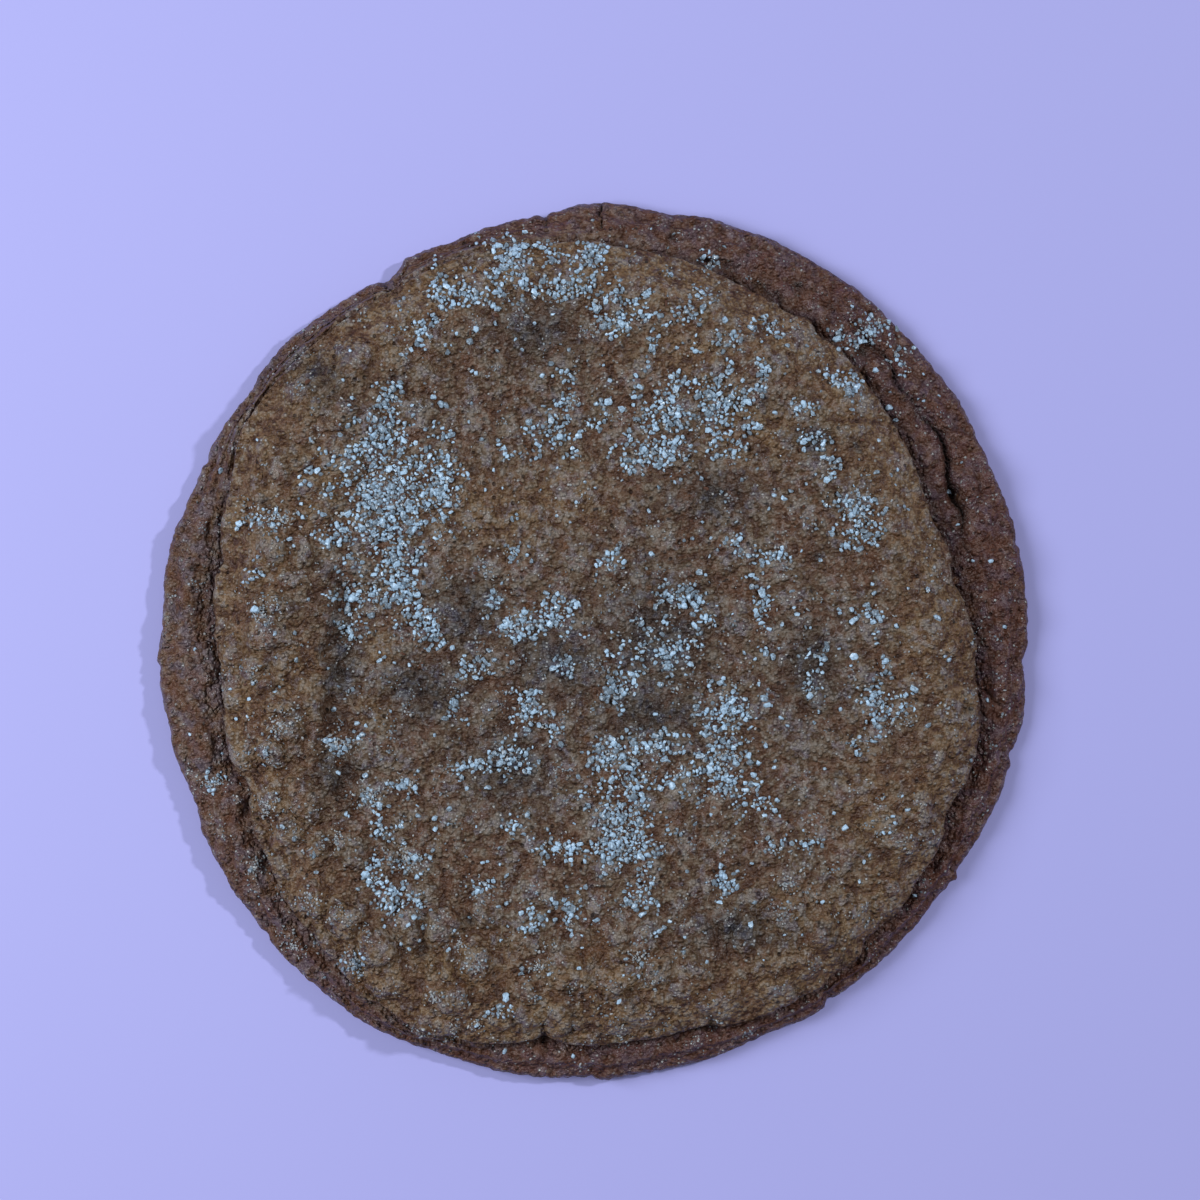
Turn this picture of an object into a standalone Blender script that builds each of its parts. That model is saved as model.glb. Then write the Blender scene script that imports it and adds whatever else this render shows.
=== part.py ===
"""Pumpkin snickerdoodle: one thin biscuit that spread wide in the oven, as one closed solid.

Metres, +Z up. The flat baked underside lies on z = 0, and the middle of the outline is at the origin.
From the edge inwards it has a low round-edged rim, a crease, the ragged lip of the thicker top, a raised
ring behind the lip, and a shallow dish where the middle sank as it cooled.
"""

import math

import bmesh
import bpy
from mathutils import Vector, noise

MM = 0.001

# Heights above the baking sheet
RIM_HEIGHT = 3.3 * MM
CREASE_HEIGHT = 2.3 * MM
LIP_HEIGHT = 5.0 * MM
RING_HEIGHT = 6.9 * MM
DISH_DEPTH = 1.3 * MM

# Where the lip melts into the rim, the crease is only this much lower than the lip.
MELTED_CREASE = 0.3 * MM

# Widths, measured inwards from the lip
LIP_ROUND = 0.6 * MM
RING_INSET = 4.5 * MM
RING_FULLNESS = 0.7
DISH_SLOPE = 15.0 * MM

# The lip leans out over the crease at its nose and draws back in the tuck below it. Both are widths of a
# full cliff, with their place on the way down from the lip to the crease.
NOSE_OUT, NOSE_DOWN = 0.35 * MM, 0.3
TUCK_IN, TUCK_DOWN = 0.15 * MM, 0.85

# Floor of the crease, measured outwards from the lip, and the least width of the rim beyond it
CREASE_FLOOR = 0.7 * MM
LEAST_RIM = 0.6 * MM

# The rim crowns at this share of its width, and slopes down from the next share to the outer edge.
CROWN_AT = 0.5
SLOPE_FROM = 0.55
EDGE_SLOPE = 0.5 * MM

# The outer edge curves out below the rim and in again to the flat underside. Each stop is a share of the
# inset and a share of the height.
EDGE_ROUND = 0.9 * MM
FOOT_INSET = 0.6 * MM
EDGE_PROFILE = ((0.3, 0.72), (0.0, 0.38), (0.18, 0.13), (1.0, 0.0))

# Distance of the outer edge from the middle, in millimetres, by degrees anticlockwise from +X
OUTER_EDGE = {
    0: 44.8, 30: 45.0, 57: 45.3, 74: 45.2, 80: 44.8, 90: 45.1, 96: 44.4, 110: 43.8, 117: 43.9, 120.5: 43.0,
    124: 43.4, 140: 44.1, 148: 44.0, 160: 44.3, 172: 44.9, 187: 45.0, 200: 44.6, 212: 45.1, 225: 45.5,
    240: 45.9, 251: 45.5, 262: 45.4, 275: 45.1, 292: 44.8, 315: 44.5, 335: 44.7,
}  # fmt: skip

# The same for the lip of the thick top
LIP_EDGE = {
    0: 38.9, 7: 37.8, 20: 37.0, 35: 37.7, 50: 38.9, 75: 40.0, 90: 40.9, 110: 41.2, 120: 41.2, 130: 41.5,
    143: 42.0, 152: 41.0, 165: 39.2, 180: 38.7, 190: 38.5, 198: 38.9, 202: 38.5, 209: 39.4, 220: 41.3,
    225: 40.7, 233: 42.4, 240: 43.2, 254: 43.1, 262: 41.7, 284: 41.2, 294: 42.3, 302: 42.7, 306: 42.3,
    310: 42.7, 322: 41.7, 330: 40.8, 342: 40.7, 352: 39.8,
}  # fmt: skip

# How sharply the lip stands out of the rim, from 0, melted into it, to 1, a full cliff
LIP_STEP = {
    0: 1.0, 40: 0.85, 70: 0.75, 84: 0.6, 95: 0.3, 117: 0.15, 145: 0.12, 156: 0.4, 166: 0.8, 210: 0.85,
    232: 0.6, 246: 0.4, 258: 0.7, 275: 0.95, 300: 0.8, 330: 1.0,
}  # fmt: skip

# A second groove splits the wide part of the rim: its place, and its depth as a share of GROOVE_DEPTH.
GROOVE_EDGE = {0: 39.4, 12: 39.4, 20: 40.2, 28: 40.6, 36: 40.9, 44: 41.6, 56: 42.2, 200: 42.0}
GROOVE_STRENGTH = {0: 0.0, 8: 0.2, 18: 0.8, 26: 1.0, 36: 0.7, 46: 0.55, 58: 0.0, 200: 0.0, 352: 0.0}
GROOVE_DEPTH = 1.0 * MM
GROOVE_WIDTH = 0.75 * MM

# Hollows sunk in the dish: (x, y, radius, depth) in millimetres
HOLLOWS = (
    (7.0, 1.0, 8.5, 0.7),
    (-13.0, 4.0, 6.5, 0.5),
    (-8.5, -11.5, 6.0, 0.6),
    (5.0, -8.0, 5.0, 0.35),
    (-2.0, 22.0, 9.0, 0.5),
    (17.0, -17.0, 7.0, 0.3),
    (-19.0, -22.0, 6.0, 0.4),
)

# The raised ring breaks off in a step on the -X side: its line, its span along Y, its drop and its run-out.
STEP_X = -28.0 * MM
STEP_Y = (-16.5 * MM, 5.5 * MM)
STEP_DROP = 0.9 * MM
STEP_FACE = 1.2 * MM
STEP_RUN_OUT = 9.0 * MM
STEP_FADE = 3.0 * MM
STEP_SWAY = 0.5 * MM
STEP_SWAY_LENGTH = 4.0 * MM

# Slow swells and small blisters: their size, then their height and their own seed on the top and on the rim
SWELL_SIZE = 7.5 * MM
BLISTER_SIZE = 3.2 * MM
TOP_SWELL, TOP_SWELL_SEED = 0.45 * MM, 1.7
TOP_BLISTER, TOP_BLISTER_SEED = 0.22 * MM, 5.1
RIM_SWELL, RIM_SWELL_SEED = 0.4 * MM, 3.3
RIM_BLISTER, RIM_BLISTER_SEED = 0.12 * MM, 8.4
SWELL_AT_LIP = 0.4

# The net of the upper side: rings from the middle to the lip, over the lip, and from the crease to the edge
TOP_RINGS = 15
LIP_RINGS = 3
RIM_RINGS = 8
RINGS = TOP_RINGS + LIP_RINGS + RIM_RINGS

CRUST_COLOUR = (0.155, 0.088, 0.042, 1.0)
CRUST_ROUGHNESS = 0.72


def clear_scene():
    for item in list(bpy.data.objects):
        bpy.data.objects.remove(item, do_unlink=True)


def smooth(value):
    """0 below 0, 1 above 1, and an even S between."""
    value = min(1.0, max(0.0, value))
    return value * value * (3.0 - 2.0 * value)


def around(stops, degrees):
    """The value at an angle of a smooth closed curve through the {degrees: value} stops."""
    angles = sorted(stops)
    degrees %= 360.0
    after = next((i for i, a in enumerate(angles) if a > degrees), 0)
    count = len(angles)
    places = []
    for step in (-2, -1, 0, 1):
        index = after + step
        turn = math.floor(index / count) + (1 if after == 0 and degrees >= angles[0] else 0)
        places.append((angles[index % count] + 360.0 * turn, stops[angles[index % count]]))
    (a0, v0), (a1, v1), (a2, v2), (a3, v3) = places
    span = a2 - a1
    t = (degrees - a1) / span
    slope_1 = (v2 - v0) / (a2 - a0) * span
    slope_2 = (v3 - v1) / (a3 - a1) * span
    return (
        v1 * (1 + 2 * t) * (1 - t) ** 2
        + slope_1 * t * (1 - t) ** 2
        + v2 * t * t * (3 - 2 * t)
        + slope_2 * t * t * (t - 1)
    )


def swell(x, y, size, seed):
    """An even, repeatable unevenness between about -1 and 1."""
    return noise.noise(Vector((x / size, y / size, seed)))


def ring_break(x, y):
    """How far the step on the -X side lowers the top at a place."""
    low, high = STEP_Y
    along = smooth((y - low) / STEP_FADE) * smooth((high - y) / STEP_FADE)
    line = STEP_X + STEP_SWAY * math.sin(y / STEP_SWAY_LENGTH)
    drop = smooth((x - line) / STEP_FACE) * (1.0 - smooth((x - line) / STEP_RUN_OUT))
    return STEP_DROP * along * drop


def top_height(x, y, inward):
    """Height of the thick top, a distance in from its lip."""
    settled = smooth(inward / RING_INSET)
    height = LIP_HEIGHT + (RING_HEIGHT - LIP_HEIGHT) * settled**RING_FULLNESS
    height -= DISH_DEPTH * smooth((inward - RING_INSET) / DISH_SLOPE)
    for hollow_x, hollow_y, radius, depth in HOLLOWS:
        away = math.hypot(x / MM - hollow_x, y / MM - hollow_y) / radius
        height -= depth * MM * math.exp(-away * away)
    height -= ring_break(x, y)
    strength = SWELL_AT_LIP + (1.0 - SWELL_AT_LIP) * settled
    height += TOP_SWELL * strength * swell(x, y, SWELL_SIZE, TOP_SWELL_SEED)
    return height + TOP_BLISTER * swell(x, y, BLISTER_SIZE, TOP_BLISTER_SEED)


def rim_height(x, y, share, degrees, radius):
    """Height of the rim, where share runs from 0 at the crease to 1 at the round of the outer edge."""
    step = around(LIP_STEP, degrees)
    crease = CREASE_HEIGHT * step + (LIP_HEIGHT - MELTED_CREASE) * (1.0 - step)
    crown = RIM_HEIGHT + RIM_SWELL * swell(x, y, SWELL_SIZE, RIM_SWELL_SEED)
    height = crease + (crown - crease) * smooth(share / CROWN_AT)
    height -= EDGE_SLOPE * smooth((share - SLOPE_FROM) / (1.0 - SLOPE_FROM))
    groove = (radius - around(GROOVE_EDGE, degrees) * MM) / GROOVE_WIDTH
    height -= GROOVE_DEPTH * around(GROOVE_STRENGTH, degrees) * math.exp(-groove * groove)
    return height + RIM_BLISTER * swell(x, y, BLISTER_SIZE, RIM_BLISTER_SEED)


def at(radius, degrees):
    return radius * math.cos(math.radians(degrees)), radius * math.sin(math.radians(degrees))


def place_on_ring(ring, degrees):
    """The place of a net point: its ring counts from 0 in the middle to RINGS at the outer edge."""
    edge = around(OUTER_EDGE, degrees) * MM
    lip = around(LIP_EDGE, degrees) * MM
    step = around(LIP_STEP, degrees)
    lip_inner = lip - LIP_ROUND
    if ring <= TOP_RINGS:
        radius = lip_inner * (ring / TOP_RINGS)
        x, y = at(radius, degrees)
        return Vector((x, y, top_height(x, y, lip - radius)))
    rim_end = edge - EDGE_ROUND
    rim_start = min(lip + CREASE_FLOOR, rim_end - LEAST_RIM)
    if ring <= TOP_RINGS + LIP_RINGS:
        x, y = at(lip, degrees)
        upper = top_height(x, y, LIP_ROUND)
        lower = rim_height(x, y, 0.0, degrees, lip)
        nose = (lip + NOSE_OUT * step, upper + (lower - upper) * NOSE_DOWN)
        tuck = (lip - TUCK_IN * step, upper + (lower - upper) * TUCK_DOWN)
        floor = (rim_start, lower)
        radius, height = (nose, tuck, floor)[ring - TOP_RINGS - 1]
        x, y = at(radius, degrees)
        return Vector((x, y, height))
    share = (ring - TOP_RINGS - LIP_RINGS) / RIM_RINGS
    radius = rim_start + (rim_end - rim_start) * share
    x, y = at(radius, degrees)
    return Vector((x, y, rim_height(x, y, share, degrees, radius)))


def ring_and_angle(place):
    """Which ring a point of the flat square net belongs to, and its angle there: squares become circles."""
    x, y = place.x, place.y
    ring = round(max(abs(x), abs(y)) * RINGS)
    if ring == 0:
        return 0, 0.0
    if abs(x) >= abs(y):
        return ring, 45.0 * y / x + (180.0 if x < 0 else 0.0)
    return ring, 90.0 - 45.0 * x / y + (180.0 if y < 0 else 0.0)


def add_outer_wall(body):
    """Folds the free edge of the upper side down round the outer edge to the flat underside."""
    rim = [e for e in body.edges if e.is_boundary]
    tops = {}
    for vert in {v for e in rim for v in e.verts}:
        degrees = math.degrees(math.atan2(vert.co.y, vert.co.x)) % 360.0
        tops[round(degrees, 3)] = vert.co.z
    for inset, share in EDGE_PROFILE:
        made = bmesh.ops.extrude_edge_only(body, edges=rim)["geom"]
        rim = [item for item in made if isinstance(item, bmesh.types.BMEdge) and item.is_boundary]
        room = EDGE_ROUND if share else FOOT_INSET
        for vert in {v for e in rim for v in e.verts}:
            degrees = math.degrees(math.atan2(vert.co.y, vert.co.x)) % 360.0
            radius = around(OUTER_EDGE, degrees) * MM - inset * room
            x, y = at(radius, degrees)
            vert.co = Vector((x, y, share * tops[round(degrees, 3)]))
    bmesh.ops.holes_fill(body, edges=rim, sides=0)


def centre_outline(body):
    """Slides the biscuit until the middle of its outline is over the origin."""
    middle_x = (min(v.co.x for v in body.verts) + max(v.co.x for v in body.verts)) / 2
    middle_y = (min(v.co.y for v in body.verts) + max(v.co.y for v in body.verts)) / 2
    bmesh.ops.translate(body, verts=body.verts, vec=(-middle_x, -middle_y, 0.0))


def crust_material():
    crust = bpy.data.materials.new("baked_crust")
    crust.use_nodes = True
    shader = crust.node_tree.nodes["Principled BSDF"]
    shader.inputs["Base Color"].default_value = CRUST_COLOUR
    shader.inputs["Roughness"].default_value = CRUST_ROUGHNESS
    shader.inputs["Metallic"].default_value = 0.0
    return crust


def make_biscuit():
    body = bmesh.new()
    bmesh.ops.create_grid(body, x_segments=2 * RINGS, y_segments=2 * RINGS, size=1.0)
    for vert in body.verts:
        vert.co = place_on_ring(*ring_and_angle(vert.co))
    add_outer_wall(body)
    centre_outline(body)
    bmesh.ops.recalc_face_normals(body, faces=body.faces)
    bmesh.ops.triangulate(body, faces=body.faces)
    mesh = bpy.data.meshes.new("biscuit")
    body.to_mesh(mesh)
    body.free()
    mesh.materials.append(crust_material())
    mesh.shade_smooth()
    biscuit = bpy.data.objects.new("biscuit", mesh)
    bpy.context.scene.collection.objects.link(biscuit)
    return biscuit


clear_scene()
make_biscuit()
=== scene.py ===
"""Pumpkin snickerdoodle: the looks of one spiced biscuit that spread wide, with coarse sugar strewn on top.

Metres, +Z up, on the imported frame. Tables of places are in millimetres and degrees anticlockwise from +X,
measured from the middle of the biscuit.
"""

import math
import random

import bmesh
import bpy
from mathutils import Matrix, Vector, kdtree, noise
from mathutils.bvhtree import BVHTree


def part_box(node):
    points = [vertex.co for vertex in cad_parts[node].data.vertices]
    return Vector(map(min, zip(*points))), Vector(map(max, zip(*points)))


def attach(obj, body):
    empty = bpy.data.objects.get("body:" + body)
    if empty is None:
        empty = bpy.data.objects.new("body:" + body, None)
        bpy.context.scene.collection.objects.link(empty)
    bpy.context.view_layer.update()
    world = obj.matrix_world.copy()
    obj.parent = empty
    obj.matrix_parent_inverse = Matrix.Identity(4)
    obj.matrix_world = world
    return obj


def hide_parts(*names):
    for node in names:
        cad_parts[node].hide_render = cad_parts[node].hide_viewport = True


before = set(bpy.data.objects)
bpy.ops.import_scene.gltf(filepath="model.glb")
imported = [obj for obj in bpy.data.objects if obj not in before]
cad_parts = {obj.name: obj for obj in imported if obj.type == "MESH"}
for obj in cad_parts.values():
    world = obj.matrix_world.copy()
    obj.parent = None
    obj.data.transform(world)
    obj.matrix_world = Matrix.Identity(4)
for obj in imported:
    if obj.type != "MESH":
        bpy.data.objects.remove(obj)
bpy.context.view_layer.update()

bl_info = {
    "name": "Pumpkin Snickerdoodle",
    "version": (1, 0, 0),
    "blender": (4, 5, 0),
    "location": "View3D > Sidebar > Biscuit",
    "description": "Makes a spread-out spiced biscuit with coarse sugar, and the stage it lies on",
    "category": "Add Mesh",
}

MM = 0.001
CAD_LOW, CAD_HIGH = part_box("biscuit")
BODY = "root"

# ---------------------------------------------------------------------------------------------------------
# Form of the biscuit
# ---------------------------------------------------------------------------------------------------------

# Heights above the floor, and widths measured inwards from the lip
LIP_HEIGHT = 5.0 * MM
RING_HEIGHT = 6.9 * MM
DISH_DEPTH = 1.3 * MM
MELTED_CREASE = 0.3 * MM
LIP_ROUND = 0.6 * MM
RING_INSET = 4.5 * MM
RING_FULLNESS = 0.7
DISH_SLOPE = 15.0 * MM

# The lip leans out at its nose and draws back in the tuck below it, each at a share of the way down.
NOSE_OUT, NOSE_DOWN = 0.35 * MM, 0.3
TUCK_IN, TUCK_DOWN = 0.15 * MM, 0.85

# How far the lip is drawn in, so that its nose stands over the line of the table
LIP_DRAWN_IN = 1.4 * NOSE_OUT

# Unevenness of the outlines at two scales: (how far, size, seed)
LIP_RAGGED = ((0.22 * MM, 2.6 * MM, 4.4), (0.16 * MM, 0.9 * MM, 9.3))
EDGE_RAGGED = ((0.12 * MM, 1.9 * MM, 2.2), (0.12 * MM, 0.6 * MM, 6.1))

# The band of risen dough behind the lip: the inset of its middle, and its half width
GOLD_INSET, GOLD_WIDTH = 1.5 * MM, 7.0 * MM

# The crease leaves the rim at least this width.
LEAST_RIM = 0.6 * MM

# The fall from the lip ends at this share of the crease's floor.
FLOOR_FROM = 0.4

# Width of the crease's floor
CREASE_FLOOR = {
    0: 1.7, 12: 2.0, 22: 2.0, 34: 1.5, 50: 1.1, 70: 1.2, 95: 0.7, 150: 0.6, 165: 1.3, 182: 1.3, 196: 0.8,
    240: 0.6, 270: 0.9, 300: 0.7, 330: 1.0, 348: 1.3,
}  # fmt: skip

# Rim: where it crowns and slopes down, as shares of its width
CROWN_AT = 0.5
SLOPE_FROM = 0.55
EDGE_SLOPE = 0.9 * MM

# The outer edge curves out to its widest at this share of its height, then in again to the foot.
EDGE_ROUND = 0.9 * MM
FOOT_INSET = 0.6 * MM
WIDEST_AT = 0.38

OUTER_EDGE = {
    0: 44.7, 10: 44.9, 28: 44.7, 30.5: 45.0, 45: 45.0, 54: 45.3, 60: 45.15, 66: 45.3, 70: 45.1, 76: 45.2,
    80: 44.8, 87: 45.15, 91: 45.15, 94: 44.6, 100: 44.2, 105: 44.0, 110: 43.8, 116: 44.0, 118: 43.5,
    123: 43.5, 132: 44.0, 139: 44.2, 145: 43.9, 149: 44.2, 161: 44.3, 166: 44.8, 173: 44.8, 178: 44.7,
    183: 45.1, 192: 44.7, 195: 44.9, 200: 44.5, 204: 44.6, 206: 45.0, 210: 45.0, 215: 45.3, 219: 45.2,
    223: 45.6, 235: 45.85, 240: 46.0, 245: 45.7, 252: 45.3, 255: 45.55, 262: 45.4, 269: 45.1, 271.5: 45.3,
    275: 44.95, 285: 44.7, 295: 44.3, 299: 44.7, 304: 44.5, 315: 44.4, 328: 44.3, 335: 44.65, 346: 44.8,
    350: 45.0, 357.5: 44.4,
}  # fmt: skip

# Nicks in the outer edge: (degrees, depth, half width along the edge)
EDGE_NICKS = (
    (96.7, 0.4, 0.35), (120.2, 0.55, 0.9), (118.9, 0.45, 1.2), (155.0, 0.25, 0.4), (303.2, 0.4, 0.5),
    (344.8, 0.4, 0.5), (206.9, 0.15, 0.5), (30.2, 0.25, 0.3), (326.7, -0.35, 0.4), (269.6, 0.25, 0.4),
    (13.0, 0.2, 0.4), (222.0, 0.2, 0.5), (183.5, 0.2, 0.4),
)  # fmt: skip

LIP_EDGE = {
    0: 39.0, 5: 38.2, 10: 37.3, 15: 37.4, 20: 36.8, 23: 36.9, 30: 37.5, 40: 38.1, 45: 38.6, 50: 39.0,
    54: 39.0, 56.5: 39.6, 58.5: 39.1, 63: 39.3, 70: 39.6, 75: 40.0, 85: 40.3, 90: 40.8, 99: 41.0,
    110: 41.5, 120: 41.3, 130: 41.5, 145: 41.9, 150: 41.8, 155: 40.7, 158: 40.2, 165: 39.7, 168: 38.7,
    170: 39.2, 175: 39.2, 178: 38.8, 185: 38.4, 190: 38.6, 199: 39.0, 202.3: 38.4, 206: 39.3, 208: 39.7,
    213: 40.1, 217: 40.8, 220: 41.3, 226: 41.5, 231: 42.0, 237: 43.3, 240: 43.0, 244: 43.6, 250: 43.0,
    255: 42.6, 260: 41.6, 263: 40.9, 267: 41.3, 275: 41.2, 286: 40.9, 288: 41.5, 295: 42.1, 300: 42.0,
    303: 42.4, 305.5: 41.8, 310: 42.2, 312: 41.4, 320: 41.6, 324: 41.1, 327: 41.4, 332: 40.6, 335: 40.2,
    340: 40.7, 346: 40.6, 350: 40.1, 354: 39.3,
}  # fmt: skip

# How sharply the lip stands out of the rim, from 0, melted into it, to 1, a full cliff
LIP_STEP = {
    0: 1.0, 40: 0.85, 70: 0.75, 84: 0.6, 95: 0.3, 117: 0.15, 145: 0.12, 156: 0.4, 166: 0.8, 210: 0.85,
    232: 0.6, 246: 0.4, 258: 0.7, 275: 0.95, 300: 0.8, 330: 1.0,
}  # fmt: skip

RIM_HEIGHT = 3.3 * MM

# Height of the crease's floor, where the lip is a full cliff
CREASE_LEVEL = {
    0: 2.6, 12: 2.9, 25: 3.3, 42: 3.2, 60: 2.7, 90: 2.5, 165: 2.5, 195: 2.6, 250: 2.5, 300: 2.8, 330: 2.8,
}  # fmt: skip

# How much darker the rim is than the top, from 0 to 1: its own darker crust plus painted shade, deepest away
# from the window
RIM_SHADE = {0: 0.9, 60: 0.85, 100: 0.6, 150: 0.2, 180: 0.1, 215: 0.45, 270: 0.85, 320: 1.0}

# A second groove splits the wide part of the rim.
GROOVE_EDGE = {
    0: 39.0, 16: 39.3, 20: 39.9, 25: 40.3, 28: 41.0, 33: 41.05, 42: 40.9, 46: 41.9, 50: 41.9, 63: 42.1,
    200: 42.0,
}  # fmt: skip
GROOVE_STRENGTH = {
    0: 0.0, 10: 0.2, 16: 0.8, 24: 1.2, 30: 0.9, 38: 0.7, 46: 0.8, 54: 0.4, 62: 0.0, 200: 0.0, 352: 0.0,
}  # fmt: skip
GROOVE_DEPTH = 0.95 * MM
GROOVE_WIDTH = 0.42 * MM

# How the groove, the wrinkles and the step wander: (how far, size, seed)
GROOVE_SWAY = (0.9 * MM, 2.4 * MM, 5.9)
WRINKLE_SWAY = (1.3 * MM, 5.0 * MM, 12.5)
STEP_SWAY = (1.3 * MM, 1.8 * MM, 7.7)

# Fine wrinkles that run along the wide part of the rim
WRINKLE_SHARE = {0: 0.9, 30: 1.0, 60: 0.8, 85: 0.3, 110: 0.0, 200: 0.0, 240: 0.2, 300: 0.4, 330: 0.7}
WRINKLE_SPACING = 0.85 * MM
WRINKLE_DEPTH = 0.06 * MM

# Hollows sunk in the dish: (x, y, radius, depth)
HOLLOWS = (
    (7.0, 1.0, 8.5, 0.7),
    (-13.0, 4.0, 6.5, 0.5),
    (-8.5, -11.5, 6.0, 0.6),
    (5.0, -8.0, 5.0, 0.35),
    (-2.0, 22.0, 9.0, 0.5),
    (17.0, -17.0, 7.0, 0.3),
    (-19.0, -22.0, 6.0, 0.4),
)

# The raised ring breaks off in a step on the -X side: its line as {y: x}, its drop, its face, its run-out,
# and how far from the ends of its line it fades
STEP_LINE = {
    8.0: -26.0, 5.0: -26.5, 3.3: -27.0, 0.7: -27.8, -3.0: -27.6, -6.7: -28.0, -9.9: -28.3, -12.4: -28.3,
    -13.8: -27.3, -16.0: -26.0, -19.0: -25.5,
}  # fmt: skip
STEP_DROP = 1.25 * MM
STEP_FACE = 0.8 * MM
STEP_RUN_OUT = 9.0 * MM
STEP_FADE = 3.0 * MM

# Where the noise that bends the lumps and cracks starts, the same on each run
NOISE_SEED = 5

# Slow swells: their size, then their height and own seed on the top and on the rim
SWELL_SIZE = 7.5 * MM
TOP_SWELL, TOP_SWELL_SEED = 0.45 * MM, 1.7
RIM_SWELL, RIM_SWELL_SEED = 0.4 * MM, 3.3
SWELL_AT_LIP = 0.4

# How blistered the top is by degrees, outside this share of its radius
BLISTERED = {0: 0.45, 60: 0.35, 110: 0.35, 140: 0.7, 180: 1.05, 240: 1.2, 290: 0.8, 330: 0.6}
BLISTERS_FROM = 0.45

# Pits, dark with painted shade: (x, y, radius, depth)
PITS = (
    (-20.2, 27.0, 0.5, 0.3), (-33.4, 14.1, 0.5, 0.35), (-27.9, 7.7, 0.4, 0.3), (20.9, 36.5, 0.5, 0.35),
    (8.0, 41.5, 0.5, 0.35), (22.6, 8.6, 0.5, 0.4), (38.1, -6.9, 0.45, 0.4), (26.6, 20.0, 0.8, 0.3),
    (-17.4, -31.4, 0.6, 0.4), (-34.1, 4.5, 0.4, 0.4), (36.9, 15.3, 0.5, 0.8), (27.5, 29.8, 0.6, 0.4),
    (17.2, 24.3, 0.5, 0.3), (-12.4, 17.6, 0.4, 0.3), (3.7, 12.2, 0.4, 0.3), (-25.5, 1.2, 0.6, 0.4),
    (11.6, -29.5, 0.5, 0.3), (24.8, -13.4, 0.4, 0.3),
    (-2.6, -35.3, 0.5, 0.3), (-31.0, -18.8, 0.6, 0.35), (-12.6, -28.3, 0.5, 0.3), (30.9, 8.4, 0.5, 0.35),
)  # fmt: skip

# Rust-coloured spots: (x, y, radius)
RUST_SPOTS = (
    (-31.2, 22.2, 0.6), (-35.4, 9.9, 0.5), (-34.1, 4.9, 0.7), (-35.8, 5.6, 0.5), (-21.2, 6.5, 0.6),
    (-43.2, 7.2, 0.9), (-36.8, 0.2, 0.5), (-34.1, -7.5, 0.5), (25.7, 23.4, 0.6), (23.7, 37.7, 0.9),
    (0.75, 43.0, 1.2), (31.0, 2.3, 0.8), (-39.8, -16.4, 0.7), (-23.8, -35.1, 0.7), (-23.5, -37.4, 0.6),
    (0.1, -31.1, 1.6), (17.0, 36.0, 0.9), (38.6, 3.0, 0.7), (9.5, 14.5, 0.9), (-4.0, 29.5, 1.0),
    (33.0, -13.0, 1.0), (-10.5, -34.0, 0.9), (22.0, -30.0, 0.8), (-15.0, 21.5, 0.8),
)  # fmt: skip

# Cracks: (x, y, x, y, half width, depth), with how far they sway in millimetres, and over what size
CRACK_SWAY, CRACK_SWAY_SIZE = 0.5, 1.2 * MM
CRACKS = (
    (0.75, 45.0, 0.6, 42.4, 0.22, 0.7), (21.2, -36.8, 20.4, -35.1, 0.3, 0.25),
    (24.6, -30.4, 22.9, -28.5, 0.3, 0.15), (-5.1, -41.0, -5.0, -40.0, 0.3, 0.6),
    (-2.3, -39.2, -2.1, -37.2, 0.35, 0.5), (3.9, -37.4, 3.6, -35.4, 0.3, 0.4),
    (12.4, -39.8, 11.9, -38.2, 0.35, 0.5), (25.9, -33.2, 24.7, -31.4, 0.3, 0.2),
    (-22.1, 38.0, -20.9, 35.6, 0.35, 0.25), (-5.2, 44.2, -4.9, 42.9, 0.25, 0.5),
    (36.3, 15.8, 37.0, 14.3, 0.35, 0.9), (16.5, 36.6, 19.0, 35.2, 0.45, 0.7),
    (11.2, 39.2, 14.6, 38.2, 0.5, 0.7), (-41.3, 7.5, -39.9, 6.8, 0.3, 0.4),
    (-29.5, -31.0, -28.4, -29.6, 0.3, 0.2),
)  # fmt: skip

# Grey, sunken, less baked patches and yellow, well risen ones: (x, y, half length along X and along Y)
GREY_PATCHES = (
    (-13.0, 3.0, 3.5, 4.0), (6.5, 0.5, 5.5, 6.5), (-8.5, -12.7, 4.5, 4.5), (6.0, -7.5, 5.5, 3.5),
    (-25.6, -2.0, 2.0, 6.0), (-25.8, -13.0, 2.2, 2.8), (-4.0, -2.0, 5.0, 4.0), (-17.5, -5.0, 5.0, 3.5),
    (-6.0, 31.5, 4.0, 3.0), (-28.0, 27.0, 3.0, 2.5), (12.0, 15.0, 4.0, 2.5), (22.0, -2.5, 3.0, 5.0),
    (15.0, -29.0, 5.0, 2.0), (22.0, 20.5, 2.0, 1.5), (-33.0, 29.5, 3.0, 2.0),
)  # fmt: skip
YELLOW_PATCHES = (
    (-22.9, -7.1, 2.0, 2.2), (-21.9, -0.9, 1.8, 2.0), (-33.2, 8.4, 3.0, 4.0), (-34.2, -8.1, 2.5, 4.0),
    (-30.1, -26.1, 4.0, 3.5), (-30.0, -3.0, 2.5, 5.0), (27.0, 20.5, 3.0, 3.0), (-10.0, 13.0, 6.0, 4.0),
    (17.0, 21.0, 5.0, 3.0), (-3.0, 15.0, 4.0, 3.0), (33.0, 0.0, 2.5, 5.0), (10.0, 29.0, 6.0, 2.5),
    (-22.0, 31.0, 5.0, 4.0), (20.0, -28.0, 5.0, 3.0), (-14.0, -33.0, 7.0, 3.5), (1.0, -34.0, 7.0, 2.5),
    (-28.0, 16.0, 3.0, 5.0), (28.0, -17.0, 3.0, 5.0),
)  # fmt: skip

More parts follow.
